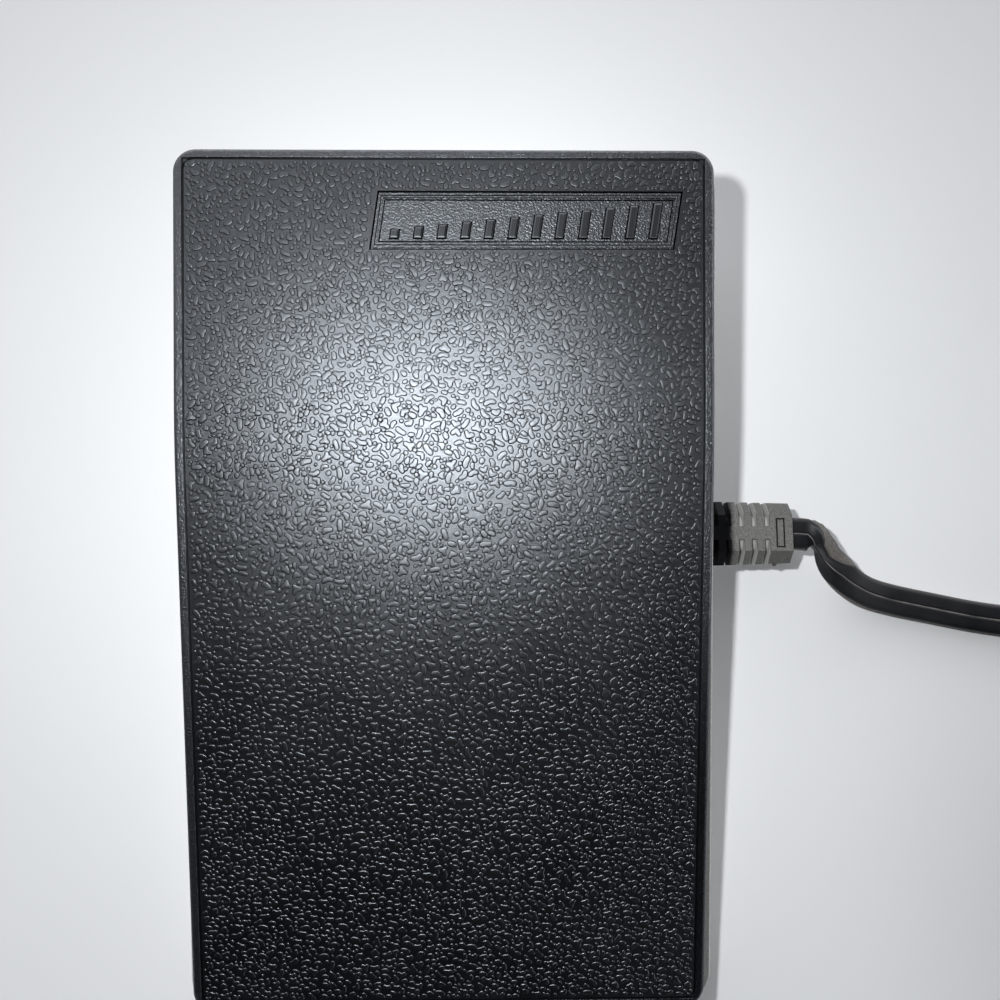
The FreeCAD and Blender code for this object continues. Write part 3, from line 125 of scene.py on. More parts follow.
def noise(tree, place, scale, detail=2.0, roughness=0.5):
    made = add_node(tree, "TexNoise", Vector=place, Scale=scale, Detail=detail, Roughness=roughness)
    return made.outputs[0]


bpy.ops.mesh.primitive_plane_add(size=3, location=(0, 0, 0))
table = bpy.context.active_object
table.name = "table_top"
table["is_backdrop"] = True
table_finish, tree, shader = new_material("table_laminate", 0.45, level=0.35)
place = add_node(tree, "TexCoord").outputs["Object"]
cloudy = noise(tree, place, 6, 3)
tree.links.new(between(tree, cloudy, (0.88, 0.895, 0.9), (0.93, 0.94, 0.942)), shader.inputs["Base Color"])
tree.links.new(remap(tree, noise(tree, place, 40, 4), 0.3, 0.7, 0.4, 0.52), shader.inputs["Roughness"])
table.data.materials.append(table_finish)

room = bpy.data.worlds.new("room")
scene.world = room
room.use_nodes = True
tree = room.node_tree
sky = tree.nodes["Background"]
way = add_node(tree, "TexCoord").outputs["Generated"]
upward = add_node(tree, "SeparateXYZ", Vector=way).outputs["Z"]
window_way = (-0.453, 0.84, 0.3)
bright_side = (0.85, 0.52, 0)
window = add_node(tree, "VectorMath", {"operation": "DOT_PRODUCT"}, i0=way, i1=window_way).outputs["Value"]
daylight = remap(tree, window, 0.4, 1.0, 0, 0.41)
aside = add_node(tree, "VectorMath", {"operation": "DOT_PRODUCT"}, i0=way, i1=bright_side).outputs["Value"]
near_floor = remap(tree, upward, 0.15, 0.5, 1, 0)
low_light = calc(tree, "MULTIPLY", near_floor, remap(tree, aside, -0.3, 1.0, 0.015, 1))
brightness = calc(tree, "ADD", daylight, low_light)
tree.links.new(between(tree, brightness, (0, 0, 0), (0.98, 0.99, 1.02)), sky.inputs["Color"])
sky.inputs["Strength"].default_value = 3.4

lamp_data = bpy.data.lights.new("lamp", "POINT")
lamp_data.shadow_soft_size = 0.0035
lamp_data.energy = 1.18
lamp_data.color = (0.97, 0.985, 1.0)
lamp = bpy.data.objects.new("lamp", lamp_data)
scene.collection.objects.link(lamp)
lamp.location = (-0.0165, 0.0235, 0.1906)
lamp.visible_camera = False


# Base tray
# Wedge-shaped tray of light grey ABS, injection moulded in one piece with its bosses and lugs. It has a fine
# sandy texture, a little darker in its pits and stained in patches, and handling has rubbed its edges paler.
def shader_group(name, inputs, outputs):
    group = bpy.data.node_groups.new(name, "ShaderNodeTree")
    for label, value in inputs.items():
        socket = group.interface.new_socket(label, in_out="INPUT", socket_type="NodeSocketFloat")
        socket.default_value = value
    for label in outputs:
        group.interface.new_socket(label, in_out="OUTPUT", socket_type="NodeSocketFloat")
    return group, group.nodes.new("NodeGroupInput").outputs, group.nodes.new("NodeGroupOutput").inputs


sand_group, given, result = shader_group(
    "moulded_sand", {"Scale": 2500.0, "Drift": 60.0}, ["Height", "Drift"])
place = add_node(sand_group, "TexCoord").outputs["Object"]
fine = noise(sand_group, place, given["Scale"], 3, 0.6)
cells = add_node(sand_group, "TexVoronoi", {"feature": "SMOOTH_F1"}, Vector=place, Scale=given["Scale"])
sand_group.links.new(
    calc(sand_group, "SUBTRACT", calc(sand_group, "MULTIPLY", fine, 1.4), cells.outputs["Distance"]),
    result["Height"])
sand_group.links.new(noise(sand_group, place, given["Drift"], 4), result["Drift"])

edge_group, given, result = shader_group("edge_mask", {"Radius": 0.0004, "Scale": 900.0}, ["Mask"])
rounded = add_node(edge_group, "Bevel", {"samples": 4}, Radius=given["Radius"]).outputs[0]
sharp = add_node(edge_group, "NewGeometry").outputs["Normal"]
bent = add_node(edge_group, "VectorMath", {"operation": "DOT_PRODUCT"}, i0=rounded, i1=sharp)
place = add_node(edge_group, "TexCoord").outputs["Object"]
patches = remap(edge_group, noise(edge_group, place, given["Scale"], 4), 0.42, 0.68, 0.15, 1)
edge = remap(edge_group, bent.outputs["Value"], 0.995, 0.86, 0, 1)
edge_group.links.new(calc(edge_group, "MULTIPLY", edge, patches), result["Mask"])


def use_group(tree, group, **inputs):
    made = tree.nodes.new("ShaderNodeGroup")
    made.node_tree = group
    for label, value in inputs.items():
        made.inputs[label].default_value = value
    return made.outputs


def colour_mix(tree, factor, first, second):
    made = add_node(tree, "Mix", {"data_type": "RGBA"}, i0=factor, i6=first, i7=second)
    return made.outputs[2]


def bump(tree, shader, height, depth):
    made = add_node(tree, "Bump", Height=height, Strength=1.0, Distance=depth)
    tree.links.new(made.outputs[0], shader.inputs["Normal"])


def dress(material, *names):
    for name in names:
        nodes[name].data.materials.clear()
        nodes[name].data.materials.append(material)


tray_plastic, tree, shader = new_material("tray_plastic", 0.5)
sanded = use_group(tree, sand_group, Scale=2600.0, Drift=35.0)
edges_worn_and_shaded = use_group(tree, edge_group, Radius=0.0005, Scale=500.0)["Mask"]
colour = between(tree, sanded["Height"], (0.54, 0.535, 0.52), (0.67, 0.665, 0.65))
colour.node.color_ramp.elements[0].position = 0.06
colour.node.color_ramp.elements[1].position = 0.42
stained = remap(tree, sanded["Drift"], 0.42, 0.68, 0, 0.35)
colour = colour_mix(tree, stained, colour, (0.45, 0.438, 0.41, 1))
colour = colour_mix(tree, calc(tree, "MULTIPLY", edges_worn_and_shaded, 0.6), colour, (0.74, 0.735, 0.72, 1))
tree.links.new(colour, shader.inputs["Base Color"])
tree.links.new(remap(tree, sanded["Drift"], 0.3, 0.7, 0.42, 0.56), shader.inputs["Roughness"])
bump(tree, shader, sanded["Height"], 0.00003)
dress(tray_plastic, "base_shell")

# Feet and buffer pads
# Four soft black rubber discs pushed into the tray's sockets, and two pads that end the treadle's travel.
# All are moulded, dull, with dust on them.
dust_group, given, result = shader_group(
    "dust_specks", {"Scale": 350.0, "Share": 0.04, "Size": 0.16}, ["Mask"])
place = add_node(dust_group, "TexCoord").outputs["Object"]
specks = add_node(dust_group, "TexVoronoi", Vector=place, Scale=given["Scale"])
chosen = add_node(dust_group, "SeparateColor", i0=specks.outputs["Color"]).outputs[0]
chosen = calc(dust_group, "LESS_THAN", chosen, given["Share"])
near = calc(dust_group, "LESS_THAN", specks.outputs["Distance"], given["Size"])
dust_group.links.new(calc(dust_group, "MULTIPLY", chosen, near), result["Mask"])


def moulded(name, dark, pale, gloss, sand=2500.0, depth=0.00002, wear=None, level=0.5, specks=0.0):
    """Plastic, rubber or lacquer: its colour drifts from dark to pale, with sand, rubbed edges and dust."""
    material, tree, shader = new_material(name, sum(gloss) / 2, level=level)
    sanded = use_group(tree, sand_group, Scale=sand)
    colour = between(tree, remap(tree, sanded["Drift"], 0.3, 0.7, 0, 1), dark, pale)
    if wear:
        mask = use_group(tree, edge_group)["Mask"]
        colour = colour_mix(tree, mask, colour, (*wear, 1))
    if specks:
        mask = use_group(tree, dust_group, Share=specks)["Mask"]
        colour = colour_mix(tree, mask, colour, (0.45, 0.44, 0.42, 1))
    tree.links.new(colour, shader.inputs["Base Color"])
    tree.links.new(remap(tree, sanded["Drift"], 0.3, 0.7, *gloss), shader.inputs["Roughness"])
    bump(tree, shader, sanded["Height"], depth)
    return material


foot_rubber = moulded(
    "foot_rubber", (0.02, 0.02, 0.021), (0.04, 0.039, 0.038), (0.7, 0.85), 1800.0, 0.00004,
    wear=(0.12, 0.115, 0.11), level=0.35, specks=0.05)
dress(foot_rubber, "rubber_feet", "buffer_pads")

# Return springs
# Two compression springs with open ends, coiled from drawn steel wire. Each stands on a peg of the tray and
# lifts the treadle.
def metal(name, dark, pale, gloss, lines, depth=0.00001):
    """Metal: fine lines along one axis from rolling, drawing or turning, with blooms and darker edges."""
    material, tree, shader = new_material(name, sum(gloss) / 2, metallic=1.0)
    place = add_node(tree, "TexCoord").outputs["Object"]
    stretched = add_node(tree, "Mapping", Vector=place, Scale=lines).outputs[0]
    drawn = noise(tree, stretched, 1.0, 4, 0.6)
    bloom = noise(tree, place, 180, 4)
    edge = use_group(tree, edge_group, Radius=0.0003)["Mask"]
    colour = between(tree, remap(tree, bloom, 0.32, 0.68, 0, 1), dark, pale)
    colour = colour_mix(tree, calc(tree, "MULTIPLY", edge, 0.5), colour, (*[0.5 * part for part in dark], 1))
    tree.links.new(colour, shader.inputs["Base Color"])
    mixed = calc(tree, "ADD", calc(tree, "MULTIPLY", drawn, 0.6), calc(tree, "MULTIPLY", bloom, 0.4))
    tree.links.new(remap(tree, mixed, 0.35, 0.65, *gloss), shader.inputs["Roughness"])
    bump(tree, shader, drawn, depth)
    return material


spring_steel = metal("spring_steel", (0.4, 0.4, 0.41), (0.62, 0.62, 0.63), (0.22, 0.4), (900, 900, 250))
dress(spring_steel, "return_spring_left", "return_spring_right")

# Circuit board
# Phenolic board of 1.6 mm, brown and slightly glossy, punched for its parts, with copper tracks below that
# show through as paler lanes. Four zinc plated screws hold it on the tray's bosses.
board_finish, tree, shader = new_material("phenolic_board", 0.32)
place = add_node(tree, "TexCoord").outputs["Object"]
paper = noise(tree, add_node(tree, "Mapping", Vector=place, Scale=(300, 1400, 300)).outputs[0], 1.0, 4)
lanes = add_node(
    tree, "TexBrick", {"offset": 0.35, "squash": 1.0}, Vector=place, Scale=60.0, Mortar_Size=0.012,
    Mortar_Smooth=0.2)
board_colour = between(tree, remap(tree, paper, 0.3, 0.7, 0, 1), (0.2, 0.105, 0.032), (0.31, 0.175, 0.06))
board_colour = colour_mix(tree, lanes.outputs["Fac"], board_colour, (0.4, 0.25, 0.1, 1))
tree.links.new(board_colour, shader.inputs["Base Color"])
tree.links.new(remap(tree, paper, 0.3, 0.7, 0.26, 0.42), shader.inputs["Roughness"])
bump(tree, shader, calc(tree, "SUBTRACT", paper, calc(tree, "MULTIPLY", lanes.outputs["Fac"], 0.6)), 0.00002)
dress(board_finish, "circuit_board")

zinc = metal("zinc_plate", (0.46, 0.47, 0.46), (0.68, 0.68, 0.66), (0.28, 0.45), (500, 500, 500))
dress(zinc, "board_screws", "triac_screw", "triac_nut", "terminal_screws", "pot_nut", "bracket_screws",
      "clamp_screws", "sector_screws")

# Capacitors
# A film capacitor in glossy dipped red resin, and a blue ceramic disc on two wires. The resin is thick and
# slightly wavy where it ran before it set.
capacitors = {
    "film_capacitor": ((0.3, 0.022, 0.014), (0.5, 0.06, 0.03)),
    "disc_capacitor": ((0.02, 0.08, 0.26), (0.06, 0.16, 0.42)),
}
for node_name, (dark, pale) in capacitors.items():
    resin = moulded(node_name + "_resin", dark, pale, (0.18, 0.32), 320.0, 0.00008)
    resin.node_tree.nodes["Principled BSDF"].inputs["Coat Weight"].default_value = 0.4
    dress(resin, node_name)

# Choke
# A sintered drum of grey ferrite, wound with enamelled copper wire. It keeps the speed control's noise out
# of the mains.
ferrite = moulded("ferrite", (0.03, 0.03, 0.033), (0.075, 0.075, 0.08), (0.55, 0.75), 4200.0, 0.00003,
                  wear=(0.16, 0.16, 0.165))
dress(ferrite, "choke_core")
enamel, tree, shader = new_material("enamelled_wire", 0.25, metallic=0.85)
place = add_node(tree, "TexCoord").outputs["Object"]
mottled = noise(tree, place, 500, 3)
tree.links.new(
    between(tree, remap(tree, mottled, 0.3, 0.7, 0, 1), (0.34, 0.1, 0.03), (0.6, 0.24, 0.09)),
    shader.inputs["Base Color"])
tree.links.new(remap(tree, mottled, 0.3, 0.7, 0.2, 0.34), shader.inputs["Roughness"])
bump(tree, shader, mottled, 0.00002)
dress(enamel, "choke_winding")

# Triac and its cooling plate
# The power switch is a black epoxy block on a tinned tab, screwed to a folded plate of rolled aluminium that
# carries its heat away.
rolled = metal("rolled_aluminium", (0.6, 0.61, 0.62), (0.76, 0.77, 0.78), (0.26, 0.44), (60, 1500, 1500))
dress(rolled, "heat_sink")
epoxy = moulded("black_epoxy", (0.018, 0.018, 0.019), (0.034, 0.034, 0.035), (0.4, 0.55), 5200.0, 0.00002,
                wear=(0.1, 0.1, 0.1))
dress(epoxy, "triac", "pot_body")

# Resistors
# Tan lacquered bodies with four colour rings each, on bent tinned wires. The rings are told from the body by
# the distance along it.
resistor_finish, tree, shader = new_material("resistor_lacquer", 0.3)
place = add_node(tree, "TexCoord").outputs["Object"]
along = add_node(tree, "SeparateXYZ", Vector=place).outputs["Y"]
height = add_node(tree, "SeparateXYZ", Vector=place).outputs["Z"]
grain = noise(tree, place, 1400, 3)
resistor_colour = between(tree, remap(tree, grain, 0.3, 0.7, 0, 1), (0.4, 0.27, 0.13), (0.56, 0.41, 0.22))
ring_colours = [(0.1, 0.03, 0.01, 1), (0.45, 0.02, 0.015, 1), (0.5, 0.16, 0.02, 1), (0.5, 0.36, 0.1, 1)]
for row_y in (-53 * mm, -45 * mm):
    for ring, ring_colour in enumerate(ring_colours):
        ring_y = row_y + (-2.0 + 1.25 * ring) * mm
        apart = calc(tree, "ABSOLUTE", calc(tree, "SUBTRACT", along, ring_y))
        on_ring = remap(tree, apart, 0.33 * mm, 0.27 * mm, 0, 1)
        resistor_colour = colour_mix(tree, on_ring, resistor_colour, ring_colour)
tree.links.new(resistor_colour, shader.inputs["Base Color"])
tree.links.new(remap(tree, grain, 0.3, 0.7, 0.24, 0.4), shader.inputs["Roughness"])
bump(tree, shader, grain, 0.00002)
dress(resistor_finish, "resistors")

# Trimmer, terminal block and leads
# A white trimmer that sets the lowest speed, and a green two-way screw terminal where the cord's two brown
# leads end.
dress(moulded("trimmer_white", (0.52, 0.52, 0.48), (0.7, 0.7, 0.66), (0.35, 0.5), 2200.0, 0.00002,
              wear=(0.42, 0.41, 0.38)), "trimmer")
dress(moulded("terminal_green", (0.02, 0.17, 0.06), (0.045, 0.27, 0.11), (0.3, 0.45), 2600.0, 0.00002,
              wear=(0.1, 0.34, 0.17)), "terminal_block")
dress(moulded("lead_sheath", (0.1, 0.043, 0.022), (0.19, 0.09, 0.048), (0.32, 0.46), 900.0, 0.00003),
      "lead_wires")

# Fuse
# A glass tube with plated caps pressed over its ends. Two clips bent from sprung brass hold it on the
# board.
fuse_finish, tree, shader = new_material("fuse_glass_and_caps", 0.06)
place = add_node(tree, "TexCoord").outputs["Object"]
fuse_low, fuse_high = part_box("fuse")
along = add_node(tree, "SeparateXYZ", Vector=place).outputs["X"]
from_middle = calc(tree, "ABSOLUTE", calc(tree, "SUBTRACT", along, (fuse_low.x + fuse_high.x) / 2))
cap_length = 4.8 * mm
cap = calc(tree, "GREATER_THAN", from_middle, (fuse_high.x - fuse_low.x) / 2 - cap_length)
smudge = noise(tree, place, 600, 3)
tree.links.new(colour_mix(tree, cap, (0.86, 0.9, 0.9, 1), (0.6, 0.6, 0.58, 1)), shader.inputs["Base Color"])
tree.links.new(cap, shader.inputs["Metallic"])
tree.links.new(
    calc(tree, "ADD", calc(tree, "MULTIPLY", cap, 0.22), remap(tree, smudge, 0.3, 0.7, 0.03, 0.12)),
    shader.inputs["Roughness"])
tree.links.new(calc(tree, "MULTIPLY_ADD", cap, 0.68, 0.32), shader.inputs["Alpha"])
bump(tree, shader, smudge, 0.00001)
dress(fuse_finish, "fuse")
brass = metal("turned_brass", (0.5, 0.35, 0.13), (0.72, 0.54, 0.25), (0.2, 0.38), (1400, 260, 1400))
dress(brass, "fuse_clips", "plug_pins")

# Speed potentiometer
# Its black body hangs on a bent zinc plated bracket. The aluminium shaft carries a nylon pinion that the
# treadle's toothed sector turns.
bracket_zinc = metal("bracket_zinc", (0.5, 0.51, 0.5), (0.72, 0.72, 0.7), (0.3, 0.46), (1400, 90, 1400))
dress(bracket_zinc, "pot_bracket")
turned_aluminium = metal(
    "turned_aluminium", (0.55, 0.56, 0.57), (0.74, 0.75, 0.76), (0.2, 0.34), (1800, 200, 200))
dress(turned_aluminium, "pot_shaft")
nylon = moulded("nylon", (0.6, 0.59, 0.53), (0.76, 0.75, 0.69), (0.32, 0.46), 1500.0, 0.00002,
                wear=(0.66, 0.63, 0.55), specks=0.03)
nylon_shader = nylon.node_tree.nodes["Principled BSDF"]
nylon_shader.inputs["Subsurface Weight"].default_value = 0.2
nylon_shader.inputs["Subsurface Radius"].default_value = (0.001, 0.0008, 0.0006)
dress(nylon, "pinion", "rack_sector")

# Hinge rod and clips
# A drawn steel rod across the heel, through lugs of the tray and the treadle. A spring clip at each end
# keeps it in place.
drawn_steel = metal(
    "drawn_steel", (0.42, 0.42, 0.43), (0.6, 0.6, 0.61), (0.2, 0.36), (120, 1600, 1600))
dress(drawn_steel, "hinge_rod", "hinge_clips")

# Treadle
# The foot plate, injection moulded in bluish black ABS. Its top has a satin field under the grain, framed by
# a thin groove and a sandy border, and a sandy panel in a double frame with a ramp of bars for slow to fast.
half_width = 54 * mm
half_length = 88 * mm
border = 1.9 * mm
groove = 0.5 * mm
panel_right = 47.6 * mm
panel_toe = 79.5 * mm
panel_length = 60.9 * mm
panel_height = 11.6 * mm
panel_lean = math.tan(math.radians(8.6))
bar_count = 12
bar_width = 1.5 * mm
bar_low = 1.6 * mm
bar_high = 6.8 * mm
bar_end = 3.85 * mm
bar_pitch = (panel_length - 2 * bar_end - bar_width) / (bar_count - 1)
bar_start = bar_end + bar_width / 2
# middle and half width of each fine line round the panel, by the distance from its outer edge
panel_lines = ((0.12 * mm, 0.14 * mm), (0.9 * mm, 0.08 * mm), (1.66 * mm, 0.1 * mm))
panel_grit = 2.8
border_grit = 2.1
line_depth = 1.5
bar_rise = 2.2
bar_sand_lost = 0.8


def treadle_black(name, sandy, gloss_low, gloss_high):
    material, tree, shader = new_material(name, 0.45, level=1.0, density=1.66 if sandy else 1.74)
    shader.inputs["Specular Tint"].default_value = (0.88, 0.94, 1.0, 1)
    place = add_node(tree, "TexCoord").outputs["Object"]
    drift = noise(tree, place, 55, 5)
    colour = between(
        tree, remap(tree, drift, 0.3, 0.7, 0, 1), (0.0005, 0.0007, 0.0013), (0.0011, 0.0014, 0.0024))
    gloss = remap(tree, drift, 0.3, 0.7, gloss_low, gloss_high)
    height = calc(tree, "MULTIPLY", noise(tree, place, 4400, 1, 0.5), 0.4)
    height = calc(tree, "MULTIPLY_ADD", noise(tree, place, 15000, 0), 0.34, height)
    if sandy:
        sand = use_group(tree, sand_group, Scale=2200.0)["Height"]
        axes = add_node(tree, "SeparateXYZ", Vector=place).outputs
        x, y = axes["X"], axes["Y"]
        out_x = calc(tree, "SUBTRACT", calc(tree, "ABSOLUTE", x), half_width - border - groove)
        out_y = calc(tree, "SUBTRACT", calc(tree, "ABSOLUTE", y), half_length - border - groove)
        out = calc(tree, "MAXIMUM", out_x, out_y)
        outside = remap(tree, out, groove, groove + 0.1 * mm, 0, 1)
        in_groove = calc(tree, "MULTIPLY", remap(tree, out, -0.02 * mm, 0.06 * mm, 0, 1),
                         remap(tree, out, groove + 0.02 * mm, groove - 0.06 * mm, 0, 1))
        # the panel's own directions: up from its middle line, and along it from its left end
        up = calc(tree, "SUBTRACT", y, panel_toe - panel_height / 2)
        left = panel_right - panel_length - panel_height / 2 * panel_lean
        leaning = calc(tree, "MULTIPLY", up, panel_lean)
        along = calc(tree, "SUBTRACT", calc(tree, "SUBTRACT", x, left), leaning)
        from_middle = calc(tree, "ABSOLUTE", calc(tree, "SUBTRACT", along, panel_length / 2))
        inward = calc(tree, "MINIMUM", calc(tree, "SUBTRACT", panel_length / 2, from_middle),
                      calc(tree, "SUBTRACT", panel_height / 2, calc(tree, "ABSOLUTE", up)))
        panel = calc(tree, "GREATER_THAN", inward, 0.0)
        # ramp of bars: which bar, how far from its middle, and how far above its top or below its foot
        from_first = calc(tree, "SUBTRACT", along, bar_start)
        number = calc(tree, "ROUND", calc(tree, "DIVIDE", from_first, bar_pitch))
        aside = calc(
            tree, "SUBTRACT", calc(tree, "ABSOLUTE", calc(
                tree, "SUBTRACT", from_first, calc(tree, "MULTIPLY", number, bar_pitch))), bar_width / 2)
        tall = calc(tree, "MULTIPLY_ADD", number, (bar_high - bar_low) / (bar_count - 1), bar_low)
        over = calc(tree, "SUBTRACT", calc(tree, "ADD", up, bar_high / 2), tall)
        below = calc(tree, "SUBTRACT", -bar_high / 2, up)
        off_bar = calc(tree, "MAXIMUM", aside, calc(tree, "MAXIMUM", over, below))
        off_row = calc(
            tree, "GREATER_THAN",
            calc(tree, "ABSOLUTE", calc(tree, "SUBTRACT", number, (bar_count - 1) / 2)), bar_count / 2)
        off_bar = calc(tree, "ADD", off_bar, calc(tree, "MULTIPLY", off_row, 0.01))
        on_bar = remap(tree, off_bar, 0.03 * mm, -0.03 * mm, 0, 1)
        foot = calc(
            tree, "MULTIPLY", remap(tree, off_bar, 0.32 * mm, 0.2 * mm, 0, 1),
            remap(tree, off_bar, -0.02 * mm, 0.04 * mm, 0, 1))
        floor = calc(tree, "MULTIPLY", calc(tree, "SUBTRACT", 1.0, on_bar), panel)
        rough_part = calc(tree, "MAXIMUM", outside, floor)
        # painted glints and shade: the sand's paler tops and darker pits stand in for the glints and shade
        # of its grains
        sand_and_glint_colour = between(
            tree, remap(tree, sand, 0.05, 0.5, 0, 1), (0.0014, 0.0018, 0.003), (0.009, 0.0095, 0.011))
        colour = colour_mix(tree, rough_part, colour, sand_and_glint_colour)
        # painted shade: the bars' feet, the panel's lines and the groove are darkened near black, and below
        # they take no shine
        line_shade = calc(
            tree, "MAXIMUM", calc(tree, "MULTIPLY", foot, panel), calc(tree, "MULTIPLY", in_groove, 0.8))
        engraved = 0.0
        for line_middle, line_half in panel_lines:
            off_line = calc(tree, "ABSOLUTE", calc(tree, "SUBTRACT", inward, line_middle))
            on_line = remap(tree, off_line, line_half + 0.04 * mm, line_half - 0.04 * mm, 0, 1)
            engraved = calc(tree, "MAXIMUM", on_line, engraved)
        line_shade = calc(tree, "MAXIMUM", line_shade, engraved)
        colour = colour_mix(tree, line_shade, colour, (0.001, 0.001, 0.0014, 1))
        gloss = calc(tree, "MULTIPLY_ADD", rough_part, 0.04, gloss)
        gloss = calc(tree, "MULTIPLY_ADD", line_shade, 0.2, gloss)
        grit = noise(tree, place, 2600, 1, 0.4)
        steep = calc(tree, "MULTIPLY_ADD", floor, panel_grit, calc(tree, "MULTIPLY", outside, border_grit))
        height = calc(tree, "MULTIPLY_ADD", grit, steep, height)
        height = calc(tree, "MULTIPLY_ADD", engraved, -line_depth, height)
        height = calc(tree, "MULTIPLY", height, calc(tree, "MULTIPLY_ADD", on_bar, -bar_sand_lost, 1.0))
        rounded_bar = calc(tree, "MULTIPLY", remap(tree, off_bar, -0.28 * mm, 0.02 * mm, 1, 0), panel)
        height = calc(tree, "MULTIPLY_ADD", rounded_bar, bar_rise, height)
        # painted shade: the lines, the skirt and the border right of the heel take no shine
        facing = add_node(tree, "NewGeometry").outputs["Normal"]
        upright = add_node(tree, "SeparateXYZ", Vector=facing).outputs["Z"]
        painted_shade = calc(tree, "MAXIMUM", line_shade, remap(tree, upright, 0.93, 0.6, 0, 0.75))
        near_heel = remap(tree, y, 10 * mm, -40 * mm, 0, 0.75)
        on_right = remap(tree, x, 0, 40 * mm, 0, 1)
        heel_right_shade = calc(tree, "MULTIPLY", near_heel, on_right)
        painted_shade = calc(tree, "MAXIMUM", painted_shade, calc(tree, "MULTIPLY", heel_right_shade, outside))
        tree.links.new(painted_shade, shader.inputs["Metallic"])
        edges_worn_and_shaded = use_group(tree, edge_group, Radius=0.0004, Scale=600.0)["Mask"]
        colour = colour_mix(tree, calc(tree, "MULTIPLY", edges_worn_and_shaded, 0.05), colour, (0.2, 0.2, 0.2, 1))
    else:
        # painted shade: the islands' feet take no shine, which draws dark outlines round them
        foot = add_node(tree, "Attribute", {"attribute_name": "foot"}).outputs["Fac"]
        tree.links.new(remap(tree, foot, 0.3, 0.75, 0, 0.92), shader.inputs["Metallic"])
    specks = use_group(tree, dust_group, Scale=300.0, Share=0.0035, Size=0.11)["Mask"]
    colour = colour_mix(tree, specks, colour, (0.4, 0.38, 0.33, 1))
    tree.links.new(colour, shader.inputs["Base Color"])
    tree.links.new(gloss, shader.inputs["Roughness"])
    bump(tree, shader, height, 0.00006)
    return material


dress(treadle_black("treadle_plastic", True, 0.3, 0.34), "treadle_shell")

# Pebble grain
# The mould of the treadle was etched with rounded islands: dots, ovals, beans and forked shapes, 0.14 mm
# high, some run together into chains. They are part of the treadle's own plastic.
heel_height = 21 * mm
bend_y = 30 * mm
bend_radius = 200 * mm
lower_slope = math.radians(10.3)
upper_slope = math.radians(5.8)
bend_height = heel_height + (bend_y + half_length) * math.tan(lower_slope)
bend_half = bend_radius * math.tan((lower_slope - upper_slope) / 2)
bend_start_y = bend_y - bend_half * math.cos(lower_slope)
bend_end_y = bend_y + bend_half * math.cos(upper_slope)
bend_middle_y = bend_start_y + bend_radius * math.sin(lower_slope)
bend_middle_z = bend_height - bend_half * math.sin(lower_slope) - bend_radius * math.cos(lower_slope)


def treadle_place(y):
    """Height and slope of the foot plate at y."""
    if y < bend_start_y:
        return heel_height + (y + half_length) * math.tan(lower_slope), lower_slope
    if y > bend_end_y:
        return bend_height + (y - bend_y) * math.tan(upper_slope), upper_slope
    slope = math.asin((bend_middle_y - y) / bend_radius)
    return bend_middle_z + bend_radius * math.cos(slope), slope


def island_outline(hub, arms, waver, phase):
    """Outline of one island: a hub with arms, seen from its middle, in even steps, wavered a little."""
    rays = 180
    spread = 9
    corner_step = 0.34 * mm
    turns = np.arange(rays) * 2 * np.pi / rays
    reach = np.full(rays, hub)
    for heading, length, width in arms:
        off = np.abs((turns - heading + np.pi) % (2 * np.pi) - np.pi)
        side = width / np.maximum(np.sin(off), 1e-6)
        hits_side = (off < np.pi / 2) & (side * np.cos(off) <= length)
        inside = np.maximum(width * width - (length * np.sin(off)) ** 2, 0)
        end = length * np.cos(off) + np.sqrt(inside)
        hits_end = (off < np.pi / 2) & (length * np.sin(off) <= width) & ~hits_side
        reach = np.maximum(reach, np.where(hits_side, side, np.where(hits_end, end, 0)))
    soft = np.exp(-0.5 * (np.arange(-spread, spread + 1) / 4.0) ** 2)
    wide = np.concatenate([reach[-spread:], reach, reach[:spread]])
    reach = np.convolve(wide, soft / soft.sum(), "valid")
    reach = reach * (1 + waver * np.sin(3 * turns + phase) + 0.6 * waver * np.sin(5 * turns + 2 * phase))
    line = np.stack([reach * np.cos(turns), reach * np.sin(turns)], 1)
    closed = np.concatenate([line, line[:1]])
    run = np.concatenate([[0], np.cumsum(np.hypot(*np.diff(closed, axis=0).T))])
    corners = int(min(20, max(8, round(run[-1] / corner_step))))
    stops = np.arange(corners) * run[-1] / corners
    return np.stack([np.interp(stops, run, closed[:, 0]), np.interp(stops, run, closed[:, 1])], 1)


dice = random.Random(41)
# share of each kind, largest kinds first
island_kinds = [("fork", 0.04), ("hook", 0.1), ("bean", 0.2), ("oval", 0.22), ("dot", 0.44)]
island_forms = {kind: [] for kind, share in island_kinds}
forms_per_kind = 14
third_turn = 2.094
# turn at which each kind lies across the treadle
lying_turn = {"fork": 0.5, "hook": math.pi / 2, "bean": math.pi / 2, "oval": 0.0, "dot": 0.0}
